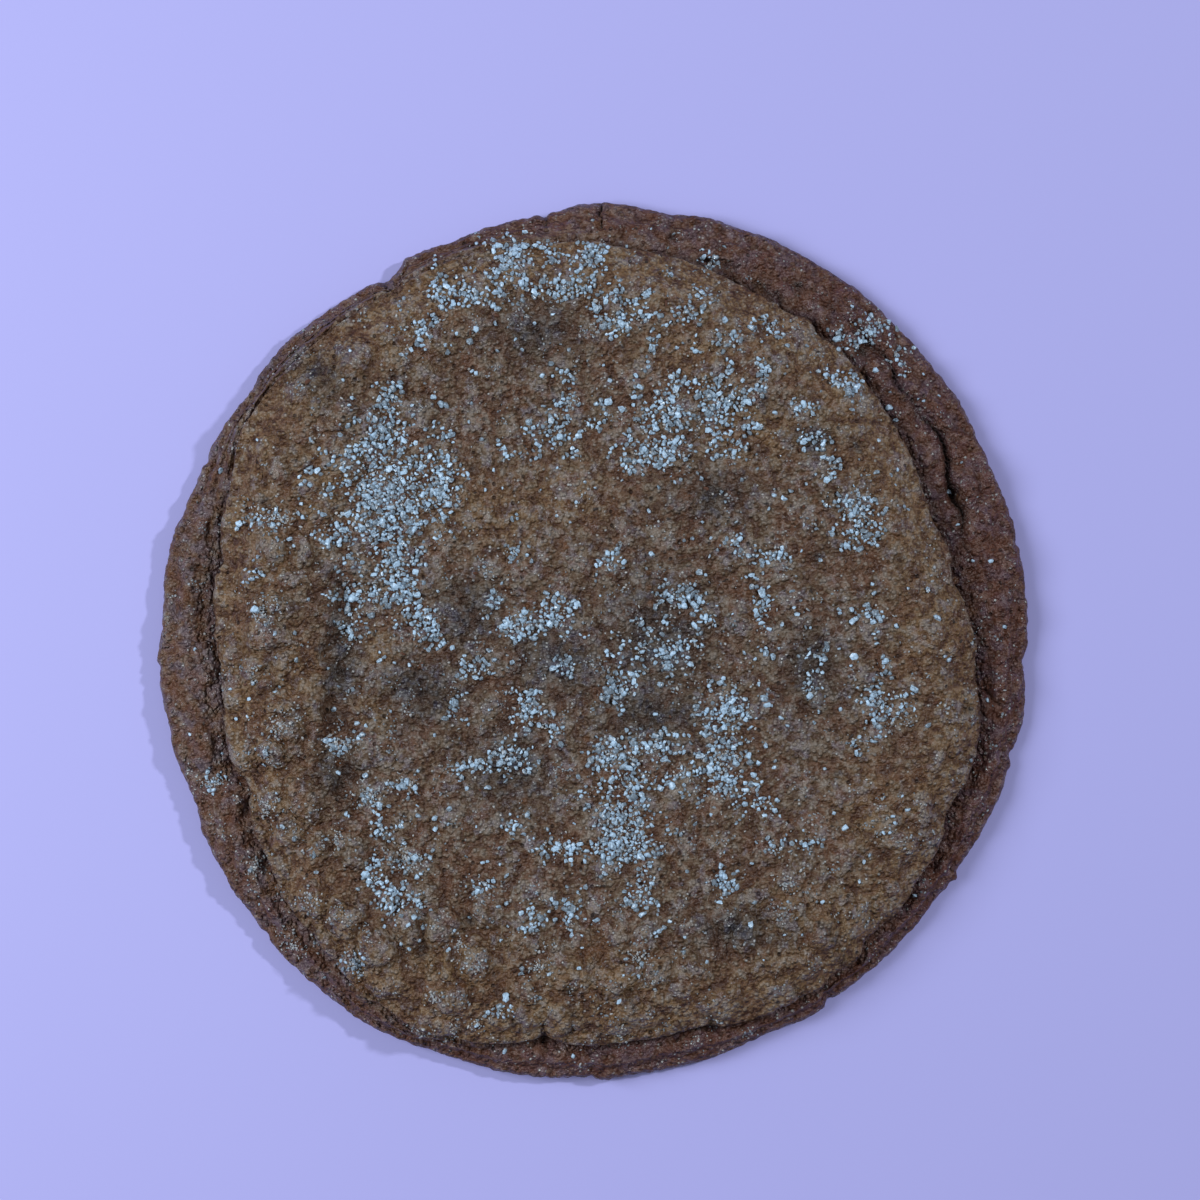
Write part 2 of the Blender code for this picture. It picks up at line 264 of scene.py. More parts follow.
# The net: rings from the middle to the lip, over the lip, on the crease's floor and on the rim, then down
# the outer edge, round the foot and on the underside
TOP_RINGS = 104
LIP_RINGS = 10
CREASE_RINGS = 5
RIM_RINGS = 21
RINGS = TOP_RINGS + LIP_RINGS + CREASE_RINGS + RIM_RINGS
EDGE_LEVELS = 9
FOOT_RINGS = 3
BASE_RINGS = 36

# The underside: from ring to ring at the foot, from there to the base, and its pores
FOOT_RING_STEP = 0.7 * MM
BASE_GAP = 0.9 * MM
BASE_PORE_SIZE, BASE_PORE_SEED = 2.6 * MM, 15.2
BASE_PORE_DEPTH = 0.7 * MM
BASE_PORE_FROM = 0.12

# ---------------------------------------------------------------------------------------------------------
# Where the sugar fell: (x, y, half length along X and along Y) of each patch
# ---------------------------------------------------------------------------------------------------------

THICK_SUGAR = (
    (-15.5, 35.5, 0.8, 1.8), (-13.0, 35.3, 3.0, 1.0), (0.0, 39.2, 1.8, 1.4), (-2.0, 36.0, 3.2, 1.1),
    (2.4, 32.3, 1.8, 1.2), (26.0, 26.3, 1.2, 1.0), (21.5, 23.8, 1.2, 0.8), (6.5, 19.3, 3.5, 1.3),
    (12.5, 24.0, 2.2, 3.3), (-2.5, 24.3, 1.0, 1.0), (-4.3, 21.6, 1.8, 1.5), (-21.0, 15.0, 5.0, 6.0),
    (-20.8, 24.5, 1.4, 1.5), (-20.0, 8.0, 1.8, 1.8), (-19.0, 5.0, 1.6, 1.8), (-17.5, 2.5, 1.5, 1.6),
    (-16.0, 0.5, 1.2, 1.2), (-8.0, 1.3, 2.2, 1.2), (-4.0, 2.8, 2.2, 2.2), (2.5, -4.5, 1.5, 2.0),
    (13.5, -15.0, 2.0, 0.8), (2.3, -11.7, 2.6, 1.5), (3.0, -18.0, 3.0, 3.0), (3.5, -21.0, 3.0, 2.0),
    (4.2, -26.3, 1.5, 1.0), (-8.5, -12.0, 1.8, 1.2), (-8.3, -18.7, 1.0, 0.7), (-22.2, -24.0, 1.0, 1.6),
    (-20.4, -26.4, 1.2, 1.6), (29.0, -6.5, 1.6, 2.3), (27.0, 12.5, 2.3, 2.6),
)  # fmt: skip
EVEN_SUGAR = (
    (-8.3, 38.7, 2.8, 3.0), (-4.0, 39.3, 1.5, 0.7), (0.3, 34.5, 0.8, 0.8), (2.3, 35.0, 1.0, 0.8),
    (5.5, 33.0, 0.8, 1.0), (10.0, 33.3, 1.5, 1.0), (7.5, 23.5, 2.8, 3.0), (8.5, 27.0, 1.0, 0.8),
    (14.8, 19.5, 1.0, 1.0), (16.5, 22.0, 0.8, 1.0), (15.5, 24.5, 1.0, 1.0), (-21.0, 21.5, 2.0, 1.2),
    (-15.5, 16.5, 2.0, 4.0), (-26.5, 10.5, 1.2, 1.0), (-26.5, 4.8, 0.7, 0.9), (-24.8, 1.0, 1.2, 1.2),
    (-12.0, -3.0, 2.0, 1.0), (-14.0, -6.5, 0.6, 1.8), (-8.0, 9.0, 1.0, 0.8), (1.5, 7.7, 1.5, 0.8),
    (-3.0, -2.3, 1.5, 1.0), (-6.5, -6.5, 1.8, 2.5), (-4.0, -9.0, 0.8, 0.8), (14.0, -7.0, 3.0, 2.5),
    (13.5, -12.0, 3.0, 3.0), (17.0, -16.5, 1.5, 1.0), (4.0, -14.0, 2.5, 1.5), (7.0, -10.5, 2.0, 1.5),
    (-3.0, -21.0, 3.0, 1.0), (5.0, -23.5, 1.2, 1.5), (-12.3, -12.5, 1.2, 1.0), (-19.0, -14.3, 1.8, 0.8),
    (-22.3, -16.0, 1.0, 1.5), (-21.5, -19.3, 1.2, 1.0), (-25.8, -10.5, 1.5, 1.0), (-18.0, -26.5, 1.5, 1.5),
    (-24.0, -32.5, 1.2, 1.0), (-9.2, -37.3, 1.2, 0.8), (-11.5, -24.5, 1.2, 0.8), (-6.0, -28.5, 1.0, 1.2),
    (-2.3, -27.3, 1.2, 1.8), (13.5, -24.5, 1.8, 1.5), (18.7, -21.0, 0.8, 0.8), (23.8, 27.0, 0.8, 0.8),
    (17.4, 26.8, 0.7, 2.0), (22.5, 20.8, 1.5, 1.0), (26.5, -10.0, 1.5, 0.5), (28.2, 3.0, 0.8, 2.0),
    (23.5, -1.2, 1.0, 0.6), (18.5, 9.0, 2.0, 0.8), (17.3, 4.0, 0.7, 3.5), (12.0, 2.5, 0.5, 1.0),
    (8.5, 4.8, 3.0, 1.2), (-39.0, -14.3, 1.5, 0.6), (5.5, 35.3, 0.8, 0.8), (6.0, 31.0, 0.8, 0.8),
)  # fmt: skip
THIN_SUGAR = (
    (-17.5, 31.5, 2.5, 2.0), (12.0, 38.8, 1.5, 1.5), (11.0, 35.3, 1.0, 1.0), (13.5, 30.5, 2.0, 1.0),
    (18.5, 32.0, 1.5, 1.5), (28.8, 32.0, 2.9, 2.6), (24.0, 17.5, 1.0, 2.0), (1.5, 24.5, 1.0, 1.0),
    (0.0, 22.0, 1.0, 1.0), (-2.3, 27.0, 1.0, 1.0), (-2.0, 19.0, 1.0, 1.0), (-9.0, 20.0, 0.5, 2.0),
    (-23.5, 5.0, 2.5, 2.5), (-10.0, 4.5, 1.5, 1.5), (8.0, -1.0, 4.0, 3.0), (9.0, -13.5, 2.0, 1.5),
    (-18.5, -22.5, 2.0, 1.5), (22.2, -20.5, 0.6, 3.0), (22.0, -4.0, 0.7, 3.0), (14.3, 10.0, 0.8, 1.8),
    (31.5, -6.0, 1.2, 1.5), (29.7, -2.0, 0.8, 0.8), (-33.0, 12.5, 2.0, 1.8), (-33.5, 7.0, 1.0, 1.0),
    (25.5, 31.0, 1.0, 1.0), (32.0, 28.5, 1.2, 1.2),
)  # fmt: skip

# Tops of lumps that only fine grains cover
GLAZED = (
    (-33.0, -16.7, 1.3, 1.4), (-22.8, -15.6, 1.9, 1.3), (-18.8, -14.4, 1.6, 1.1), (-24.0, -32.7, 1.3, 1.5),
    (-13.5, -30.7, 1.1, 1.4), (-25.8, -10.3, 1.8, 1.5), (-31.6, -8.6, 2.0, 1.6), (-30.7, -31.3, 1.6, 1.2),
    (-34.6, -23.2, 1.3, 1.2), (-11.8, -39.0, 1.0, 0.9), (-39.0, -14.6, 1.6, 0.9), (-28.5, -26.0, 1.2, 1.4),
    (-19.0, -22.0, 1.8, 1.6), (-33.5, 3.0, 1.6, 2.0), (-31.5, 12.5, 1.8, 1.4), (-5.5, -33.0, 1.6, 1.3),
    (4.5, -32.0, 1.5, 1.2), (-26.0, -20.0, 1.2, 1.4), (19.5, -24.5, 1.3, 1.1), (-16.0, -36.0, 1.4, 1.0),
)  # fmt: skip

# Coarse crystals that lie alone, between the patches and along the rim: (x, y)
LONE_CRYSTALS = (
    (8.0, 37.3), (7.7, 40.4), (3.5, 40.5), (0.0, 43.2), (21.7, 30.0), (-12.3, 24.3), (-12.2, 27.5),
    (-7.8, 30.7), (-4.0, 33.2), (19.8, -26.3), (16.3, -22.5), (19.8, -8.5), (18.5, -12.8), (18.5, 15.5),
    (15.2, 16.5), (31.0, 17.5), (34.0, 24.7), (-34.0, 20.5), (-38.0, 17.5), (-33.5, 7.0), (-30.2, 1.0),
    (-30.0, -1.8), (-35.7, -2.5), (-36.8, -4.8), (-36.3, -7.8), (-41.3, -9.5), (-40.8, -0.8),
    (-38.0, -11.5), (-32.5, -9.0), (-35.0, -23.3), (-11.8, -39.0), (-8.7, -23.7), (25.0, 31.0),
    (32.0, 28.5), (30.5, 30.3), (26.6, 34.4), (28.2, 33.0), (37.5, 12.0), (30.3, 24.0), (-28.5, 20.5),
    (-24.5, 29.5), (2.0, 1.0), (20.5, 3.5), (10.5, -18.5), (30.5, 25.6), (33.4, 24.9), (36.0, 20.4),
    (37.9, 18.4), (36.6, 15.4), (31.1, 22.7), (39.1, 8.3), (40.8, 8.3), (35.6, 25.3), (32.1, 28.6),
    (34.0, 27.5), (42.2, 1.5), (38.6, -12.0), (40.5, -6.0), (33.0, -26.0), (-2.0, -42.5), (-9.0, -42.0),
    (-27.5, -34.5), (-34.2, -27.0), (-41.5, -16.5), (6.0, 42.3), (13.5, 40.5),
)  # fmt: skip

# Crystals on each square millimetre of a patch
THICK, EVEN, THIN = 12.5, 7.2, 3.0

# Gaps between the middles of crystals, in usual widths: on a chain, and the least anywhere
CHAIN_STEP, LEAST_GAP = 1.1, 0.64

# Stray crystals lie on the top, and stray grains reach the rim.
STRAY_REACH = min(LIP_EDGE.values()) * MM
DUST_REACH = 43.8 * MM

# Fine sugar off the patches sticks in small clusters: their spread, and the fewest and most grains in one
CLUSTER = 0.45 * MM
CLUSTER_GRAINS = (2, 9)

# It sticks from this lump mark up, fully this much higher, and seldom anywhere else.
STICKS_FROM, STICKS_OVER = 0.45, 0.3
SELDOM = 0.03

# Tints run from 0, clear, to 1, frosted: the usual one and its spread for crystals, and the usual ones of
# fine grains in the patches, on glazed lumps and astray, with their spread.
CRYSTAL_TINT, CRYSTAL_TINT_SPREAD = 0.44, 0.42
DUST_TINT, GLAZE_TINT, STRAY_TINT, DUST_TINT_SPREAD = 0.4, 0.55, 0.2, 0.3

# Fine grains spread this much beyond the crystals of their patch.
DUST_SPREAD = 1.25

# Specks of spice keep this far in from the edge.
SPECK_INSET = 1.5 * MM

# Spread of the tilt of strewn pieces, in radians
TILT_SPREAD = 0.5

# ---------------------------------------------------------------------------------------------------------
# Settings that a user would change
# ---------------------------------------------------------------------------------------------------------


def colour(name, about, value):
    """A colour setting, in linear light."""
    return bpy.props.FloatVectorProperty(
        name=name, description=about, subtype="COLOR", size=3, min=0.0, max=1.0, default=value
    )


def length(name, about, value):
    """A length setting in metres."""
    return bpy.props.FloatProperty(
        name=name, description=about, unit="LENGTH", subtype="DISTANCE", precision=5, min=0.0, default=value
    )


def amount(name, about, value, most=4.0):
    return bpy.props.FloatProperty(name=name, description=about, min=0.0, max=most, default=value)


def count(name, about, value):
    return bpy.props.IntProperty(name=name, description=about, min=0, default=value)


class CrustSettings(bpy.types.PropertyGroup):
    blister_size: length("Blister size", "Width of one risen lump of dough", 4.0 * MM)
    blister_height: length("Blister height", "How far the lumps stand out", 1.3 * MM)
    knob_size: length("Knob size", "Width of one knob of the rim and the lip", 1.7 * MM)
    knob_height: length("Knob height", "How far the knobs stand out", 0.42 * MM)
    crumb_size: length("Crumb size", "Width of one crumb of the crust", 0.95 * MM)
    crumb_height: length("Crumb height", "How far the crumbs stand out", 0.2 * MM)
    grit_height: length("Grit height", "Depth of the finest roughness in the mesh", 0.035 * MM)
    olive: colour("Olive", "The plain baked crumb", (0.118, 0.074, 0.04))
    lilac: colour("Lilac", "Crumb under a thin veil of melted sugar", (0.14, 0.113, 0.134))
    russet: colour("Russet", "Crumb that soaked up spice and fat", (0.128, 0.05, 0.022))
    gold: colour("Gold", "The risen dough behind the lip", (0.205, 0.116, 0.046))
    # Gap and pale are the crumb's own dark and light tones, and also paint shade between the lumps and light
    # on their tops.
    gap: colour("Gap", "The darkest crumb, down between the lumps", (0.052, 0.0185, 0.008))
    pale: colour("Pale", "The driest crumb, on the tops of the lumps", (0.232, 0.19, 0.156))
    grey: colour("Grey", "How moist, sunken patches darken the crumb", (0.3, 0.36, 0.5))
    # Painted highlights on half melted grains of sugar
    glint: colour("Glint", "Half melted grains that catch the light", (0.46, 0.45, 0.435))
    # The rim's own darker crust; where the rim mark is strong, this colour also paints shade, deepest away
    # from the window
    rim_tone_and_shade: colour("Rim shade", "How the thin crisp edge darkens the crumb", (0.72, 0.5, 0.52))
    # Painted shade under the lip, where it stands as a cliff, and down in the groove
    crease: colour("Crease shade", "How the moist crease darkens the crumb", (0.58, 0.56, 0.66))
    rust: colour("Rust", "Spots of spice that soaked in", (0.105, 0.04, 0.012))
    # Painted shade down in the pores, the pressed pits, the cracks and the groove
    pit_shade: colour("Pit", "Down in the pores", (0.022, 0.009, 0.006))
    base: colour("Base", "The browned underside", (0.13, 0.066, 0.026))


class SugarSettings(bpy.types.PropertyGroup):
    crystal_size: length("Crystal size", "Width of a usual coarse crystal", 0.46 * MM)
    dust_size: length("Dust size", "Width of a usual fine grain", 0.2 * MM)
    thickness: amount("Thickness", "How thickly the coarse crystals lie", 1.0)
    stray_crystals: count("Stray crystals", "Coarse crystals outside the patches", 480)
    dust_share: amount("Dust share", "Fine grains on each square millimetre of a patch", 4.0, 20.0)
    glaze_share: amount("Glaze share", "Fine grains on each square millimetre of a glazed lump", 9.0, 20.0)
    stray_dust: count("Stray dust", "Fine grains outside the patches", 2800)
    clear: colour("Clear", "A clear crystal over the crust", (0.158, 0.195, 0.232))
    white: colour("White", "A frosted crystal", (0.45, 0.62, 0.79))
    fine: colour("Fine", "A fine frosted grain", (0.46, 0.46, 0.455))


class SpiceSettings(bpy.types.PropertyGroup):
    speck_size: length("Speck size", "Width of a usual speck of spice", 0.24 * MM)
    specks: count("Specks", "Specks of ground spice on the top", 500)
    crumb_size: length("Loose crumb size", "Width of a usual loose crumb", 0.45 * MM)
    crumbs: count("Loose crumbs", "Crumbs that stand on the rim, the lip and the edge", 300)
    red: colour("Red spice", "Cinnamon that soaked up fat", (0.09, 0.028, 0.01))
    dark: colour("Dark spice", "Clove and nutmeg", (0.022, 0.011, 0.007))


class StageSettings(bpy.types.PropertyGroup):
    floor: colour("Floor", "The plain pale floor", (0.43, 0.416, 0.785))
    sky: colour("Sky", "Soft light from all round", (0.86, 0.92, 1.0))
    sky_strength: amount("Sky strength", "Brightness of the soft light", 0.255)
    window_power: bpy.props.FloatProperty(
        name="Window power", description="The wide soft light from the left", unit="POWER", default=1.46
    )
    lamp_power: bpy.props.FloatProperty(
        name="Lamp power", description="The small crisp light from the right", unit="POWER", default=2.85
    )


# ---------------------------------------------------------------------------------------------------------
# Curves and noise
# ---------------------------------------------------------------------------------------------------------


def smooth(value):
    """0 below 0, 1 above 1, and an even S between."""
    value = min(1.0, max(0.0, value))
    return value * value * (3.0 - 2.0 * value)


def blend(low, high, share):
    return low + (high - low) * share


def hermite(knots, place):
    """The value at a place between the middle two of four (place, value) knots, on a smooth curve."""
    (a0, v0), (a1, v1), (a2, v2), (a3, v3) = knots
    span = a2 - a1
    t = (place - a1) / span
    slope_1 = (v2 - v0) / (a2 - a0) * span
    slope_2 = (v3 - v1) / (a3 - a1) * span
    return (
        v1 * (1 + 2 * t) * (1 - t) ** 2
        + slope_1 * t * (1 - t) ** 2
        + v2 * t * t * (3 - 2 * t)
        + slope_2 * t * t * (t - 1)
    )


class Round:
    """A smooth closed curve through {degrees: value} stops, sampled once and then read at any angle."""

    SAMPLES = 3600

    def __init__(self, stops, unit=1.0):
        knots = sorted(stops.items())
        before = [(degrees - 360.0, value) for degrees, value in knots[-2:]]
        after = [(degrees + 360.0, value) for degrees, value in knots[:2]]
        knots = before + knots + after
        self.values = []
        last = 0
        for sample in range(self.SAMPLES):
            degrees = sample * 360.0 / self.SAMPLES
            while knots[last + 2][0] <= degrees:
                last += 1
            self.values.append(hermite(knots[last : last + 4], degrees) * unit)

    def at(self, degrees):
        place = (degrees % 360.0) * self.SAMPLES / 360.0
        index = int(place)
        low = self.values[index % self.SAMPLES]
        high = self.values[(index + 1) % self.SAMPLES]
        return blend(low, high, place - index)


def along_line(stops, place):
    """The value at a place of straight runs between the {place: value} stops."""
    knots = sorted(stops.items())
    for (low, low_value), (high, high_value) in zip(knots, knots[1:]):
        if place <= high:
            return blend(low_value, high_value, max(0.0, (place - low) / (high - low)))
    return knots[-1][1]


def through(points, place):
    """A point on the smooth curve through the inner points; the first and last only steer it."""
    index = min(int(place), len(points) - 4)
    t = place - index
    p0, p1, p2, p3 = points[index : index + 4]
    return p1 + 0.5 * t * (p2 - p0 + t * (2 * p0 - 5 * p1 + 4 * p2 - p3 + t * (3 * (p1 - p2) + p3 - p0)))


def swell(x, y, size, seed):
    return noise.noise(Vector((x / size, y / size, seed)))


def at(radius, degrees):
    return radius * math.cos(math.radians(degrees)), radius * math.sin(math.radians(degrees))


def sway(x, y, wander):
    """How far a line wanders at a place, by its (how far, size, seed)."""
    far, size, seed = wander
    return far * swell(x, y, size, seed)


def ragged(degrees, radius, scales, share=1.0):
    """The radius with a share of its unevenness at each (how far, size, seed) scale."""
    for far, size, seed in scales:
        radius += far * share * swell(*at(radius, degrees), size, seed)
    return radius


OUTER = Round(OUTER_EDGE, MM)
LIP = Round(LIP_EDGE, MM)
STEP = Round(LIP_STEP)
FLOOR = Round(CREASE_FLOOR, MM)
LEVEL = Round(CREASE_LEVEL, MM)
SHADE = Round(RIM_SHADE)
GROOVE = Round(GROOVE_EDGE, MM)
GROOVE_SHARE = Round(GROOVE_STRENGTH)
WRINKLES = Round(WRINKLE_SHARE)
BLISTERS = Round(BLISTERED)

# ---------------------------------------------------------------------------------------------------------
# The crust
# ---------------------------------------------------------------------------------------------------------

# What the mesh tells the material at each of its points
MARKS = (
    "rim_tone_and_shade", "crease", "gold", "grey", "yellow", "rust", "pit_shade", "base", "relief", "blister", "knob", "lump",
)  # fmt: skip


def outer_radius(degrees):
    """The outer edge with its nicks and crumbs."""
    radius = OUTER.at(degrees)
    for nick, depth, half_width in EDGE_NICKS:
        away = math.radians((degrees - nick + 180.0) % 360.0 - 180.0) * radius / (half_width * MM)
        if abs(away) < 3.0:
            radius -= depth * MM * math.exp(-away * away)
    return ragged(degrees, radius, EDGE_RAGGED)


def lip_radius(degrees):
    """The lip with its small lumps and bites, which fade where it melts into the rim."""
    step = STEP.at(degrees)
    return ragged(degrees, LIP.at(degrees) - LIP_DRAWN_IN * step, LIP_RAGGED, step)


def ring_break(x, y):
    """How far the step on the -X side lowers the top at a place."""
    if x > 0.0:
        return 0.0
    low, high = min(STEP_LINE) * MM, max(STEP_LINE) * MM
    along = smooth((y - low) / STEP_FADE) * smooth((high - y) / STEP_FADE)
    if along == 0.0:
        return 0.0
    line = along_line(STEP_LINE, y / MM) * MM + sway(x, y, STEP_SWAY)
    drop = smooth((x - line) / STEP_FACE) * (1.0 - smooth((x - line) / STEP_RUN_OUT))
    return STEP_DROP * along * drop


def top_height(x, y, inward):
    """Height of the thick top, a distance in from its lip."""
    settled = smooth(inward / RING_INSET)
    height = LIP_HEIGHT + (RING_HEIGHT - LIP_HEIGHT) * settled**RING_FULLNESS
    height -= DISH_DEPTH * smooth((inward - RING_INSET) / DISH_SLOPE)
    for hollow_x, hollow_y, radius, depth in HOLLOWS:
        away = math.hypot(x / MM - hollow_x, y / MM - hollow_y) / radius
        height -= depth * MM * math.exp(-away * away)
    height -= ring_break(x, y)
    strength = SWELL_AT_LIP + (1.0 - SWELL_AT_LIP) * settled
    return height + TOP_SWELL * strength * swell(x, y, SWELL_SIZE, TOP_SWELL_SEED)


def groove_at(x, y, degrees, radius, half_width):
    """How deep the second groove is at a place, from 0 to about 1."""
    away = (radius + sway(x, y, GROOVE_SWAY) - GROOVE.at(degrees)) / half_width
    return GROOVE_SHARE.at(degrees) * math.exp(-away * away)


def rim_height(x, y, share, degrees, radius):
    """Height of the rim, where share runs from 0 at the crease to 1 at the round of the outer edge."""
    step = STEP.at(degrees)
    crease = blend(LIP_HEIGHT - MELTED_CREASE, LEVEL.at(degrees), step)
    crown = RIM_HEIGHT + RIM_SWELL * swell(x, y, SWELL_SIZE, RIM_SWELL_SEED)
    height = crease + (crown - crease) * smooth(share / CROWN_AT)
    height -= EDGE_SLOPE * smooth((share - SLOPE_FROM) / (1.0 - SLOPE_FROM))
    height -= GROOVE_DEPTH * groove_at(x, y, degrees, radius, GROOVE_WIDTH)
    wave = math.cos((radius + sway(x, y, WRINKLE_SWAY)) / WRINKLE_SPACING * math.tau)
    return height + WRINKLE_DEPTH * WRINKLES.at(degrees) * smooth(3.0 * share) * wave


def lip_profile(degrees, lip, rim_start):
    """(radius, height) points of the fall from the top over the lip to the crease's floor."""
    step = STEP.at(degrees)
    points = []
    for inward in (2.0 * LIP_ROUND, LIP_ROUND):
        radius = lip - inward
        points.append(Vector((radius, top_height(*at(radius, degrees), inward))))
    upper = points[-1].y
    lower = rim_height(*at(lip, degrees), 0.0, degrees, lip)
    points.append(Vector((lip + NOSE_OUT * step, blend(upper, lower, NOSE_DOWN))))
    points.append(Vector((lip - TUCK_IN * step, blend(upper, lower, TUCK_DOWN))))
    points.append(Vector((blend(lip, rim_start, FLOOR_FROM), lower)))
    points.append(Vector((rim_start, lower)))
    return points


def place_on_ring(ring, degrees):
    """The place of a net point and its marks. Rings count from 0 in the middle to RINGS at the edge."""
    edge = outer_radius(degrees)
    lip = lip_radius(degrees)
    step = STEP.at(degrees)
    lip_inner = lip - LIP_ROUND
    if ring <= TOP_RINGS:
        radius = lip_inner * (ring / TOP_RINGS)
        x, y = at(radius, degrees)
        inward = lip - radius
        gold = smooth(1.0 - abs(inward - GOLD_INSET) / GOLD_WIDTH)
        return Vector((x, y, top_height(x, y, inward))), {"gold": gold}
    rim_end = edge - EDGE_ROUND
    rim_start = min(lip + FLOOR.at(degrees), rim_end - LEAST_RIM)
    if ring <= TOP_RINGS + LIP_RINGS:
        share = (ring - TOP_RINGS) / LIP_RINGS
        radius, height = through(lip_profile(degrees, lip, rim_start), 3.0 * share)
        x, y = at(radius, degrees)
        # Down the face of the lip, the rim's tone and painted crease shade come in.
        down = smooth(1.6 * share - 0.3)
        marks = {"gold": 0.9 * (1.0 - share), "rim_tone_and_shade": down * step, "crease": down * step}
        return Vector((x, y, height)), marks
    floor_end = blend(lip, rim_start, FLOOR_FROM)
    from_floor = ring - TOP_RINGS - LIP_RINGS
    if from_floor <= CREASE_RINGS:
        radius = blend(floor_end, rim_start, from_floor / CREASE_RINGS)
        share = 0.0
    else:
        share = (from_floor - CREASE_RINGS) / RIM_RINGS
        radius = blend(rim_start, rim_end, share)
    x, y = at(radius, degrees)
    height = rim_height(x, y, share, degrees, radius)
    melted = 1.0 - step
    under_lip = 1.0 - smooth(from_floor / (1.6 * CREASE_RINGS))
    # Painted shade under the lip where it is a cliff, and down in the second groove
    dark = max(step * under_lip, groove_at(x, y, degrees, radius, 1.8 * GROOVE_WIDTH))
    # The rim mark carries its own darker crust and the painted shade of RIM_SHADE; the pit mark paints the
    # groove darker still.
    marks = {
        "rim_tone_and_shade": blend(1.0, smooth(1.8 * share), melted) * SHADE.at(degrees),
        "knob": blend(1.0, smooth(1.8 * share), melted),
        "crease": min(1.0, dark),
        "pit_shade": smooth(1.5 * groove_at(x, y, degrees, radius, GROOVE_WIDTH) - 0.5),
        "gold": 0.4 * melted * (1.0 - smooth(1.5 * share)),
    }
    return Vector((x, y, height)), marks


def ring_and_angle(place, rings):
    """Which ring a point of the flat square net belongs to, and its angle there: squares become circles."""
    x, y = place.x, place.y
    ring = round(max(abs(x), abs(y)) * rings)
    if ring == 0:
        return 0, 0.0
    if abs(x) >= abs(y):
        return ring, 45.0 * y / x + (180.0 if x < 0 else 0.0)
    return ring, 90.0 - 45.0 * x / y + (180.0 if y < 0 else 0.0)


def degrees_of(vert):
    return math.degrees(math.atan2(vert.co.y, vert.co.x)) % 360.0


def free_edges(body):
    return [edge for edge in body.edges if edge.is_boundary]


def add_ring(body, ring):
    """Joins a copy of a ring of points to it, always in the same order, so that each run gives the same."""
    fresh = [body.verts.new(vert.co, vert) for vert in ring]
    for index, vert in enumerate(ring):
        body.faces.new((vert, ring[index - 1], fresh[index - 1], fresh[index]))
    return fresh


def edge_levels():
    """(share of the round outwards, inset of the foot, share of the height) down the outer edge."""
    levels = []
    upper = EDGE_LEVELS // 2 + 1
    for level in range(1, upper + 1):
        turn = math.radians(90.0 * level / upper)
        levels.append((math.sin(turn), 0.0, blend(WIDEST_AT, 1.0, math.cos(turn))))
    lower = EDGE_LEVELS - upper
    for level in range(1, lower + 1):
        turn = math.radians(90.0 * level / lower)
        levels.append((1.0, 1.0 - math.cos(turn), WIDEST_AT * (1.0 - math.sin(turn))))
    return levels


def add_outer_edge(body, layers):
    """Folds the free edge of the upper side down round the outer edge to the foot."""
    ring = sorted({vert for edge in free_edges(body) for vert in edge.verts}, key=degrees_of)
    tops = [vert.co.z for vert in ring]
    for out, foot, share in edge_levels():
        ring = add_ring(body, ring)
        for vert, top in zip(ring, tops):
            degrees = degrees_of(vert)
            reach = outer_radius(degrees) - EDGE_ROUND * (1.0 - out) - FOOT_INSET * foot
            x, y = at(reach, degrees)
            vert.co = Vector((x, y, share * top))
            vert[layers["relief"]] = smooth(2.5 * share)
            vert[layers["base"]] = smooth(1.0 - 3.0 * share)
    return ring


def add_underside(body, layers, foot):
    """Closes the foot with a flat base that carries shallow pores."""
    inner = FOOT_INSET
    for _ in range(FOOT_RINGS):
        foot = add_ring(body, foot)
        inner += FOOT_RING_STEP
        for vert in foot:
            degrees = degrees_of(vert)
            vert.co.x, vert.co.y = at(outer_radius(degrees) - inner, degrees)
            vert[layers["relief"]] = 0.0
            vert[layers["base"]] = 1.0
    upper = set(body.verts)
    bmesh.ops.create_grid(body, x_segments=2 * BASE_RINGS, y_segments=2 * BASE_RINGS, size=1.0)
    for vert in body.verts:
        if vert in upper:
            continue
        ring, degrees = ring_and_angle(vert.co, BASE_RINGS)
        radius = (OUTER.at(degrees) - inner - BASE_GAP) * ring / BASE_RINGS
        x, y = at(radius, degrees)
        pore = max(0.0, swell(x, y, BASE_PORE_SIZE, BASE_PORE_SEED) - BASE_PORE_FROM)
        at_rim = smooth(8.0 * ring / BASE_RINGS - 7.0)
        vert.co = Vector((x, y, BASE_PORE_DEPTH * pore * (1.0 - at_rim)))
        vert[layers["base"]] = 1.0
    bmesh.ops.bridge_loops(body, edges=free_edges(body))


def near(tree, body, x, y, reach):
    """The upper points within reach of a place in millimetres, and their distances along the floor."""
    for point, index, _ in tree.find_range(Vector((x * MM, y * MM, 0.0)), reach * MM):
        yield body.verts[index], math.hypot(point.x - x * MM, point.y - y * MM) / MM


def raise_mark(vert, layer, value):
    vert[layer] = max(vert[layer], min(1.0, value))


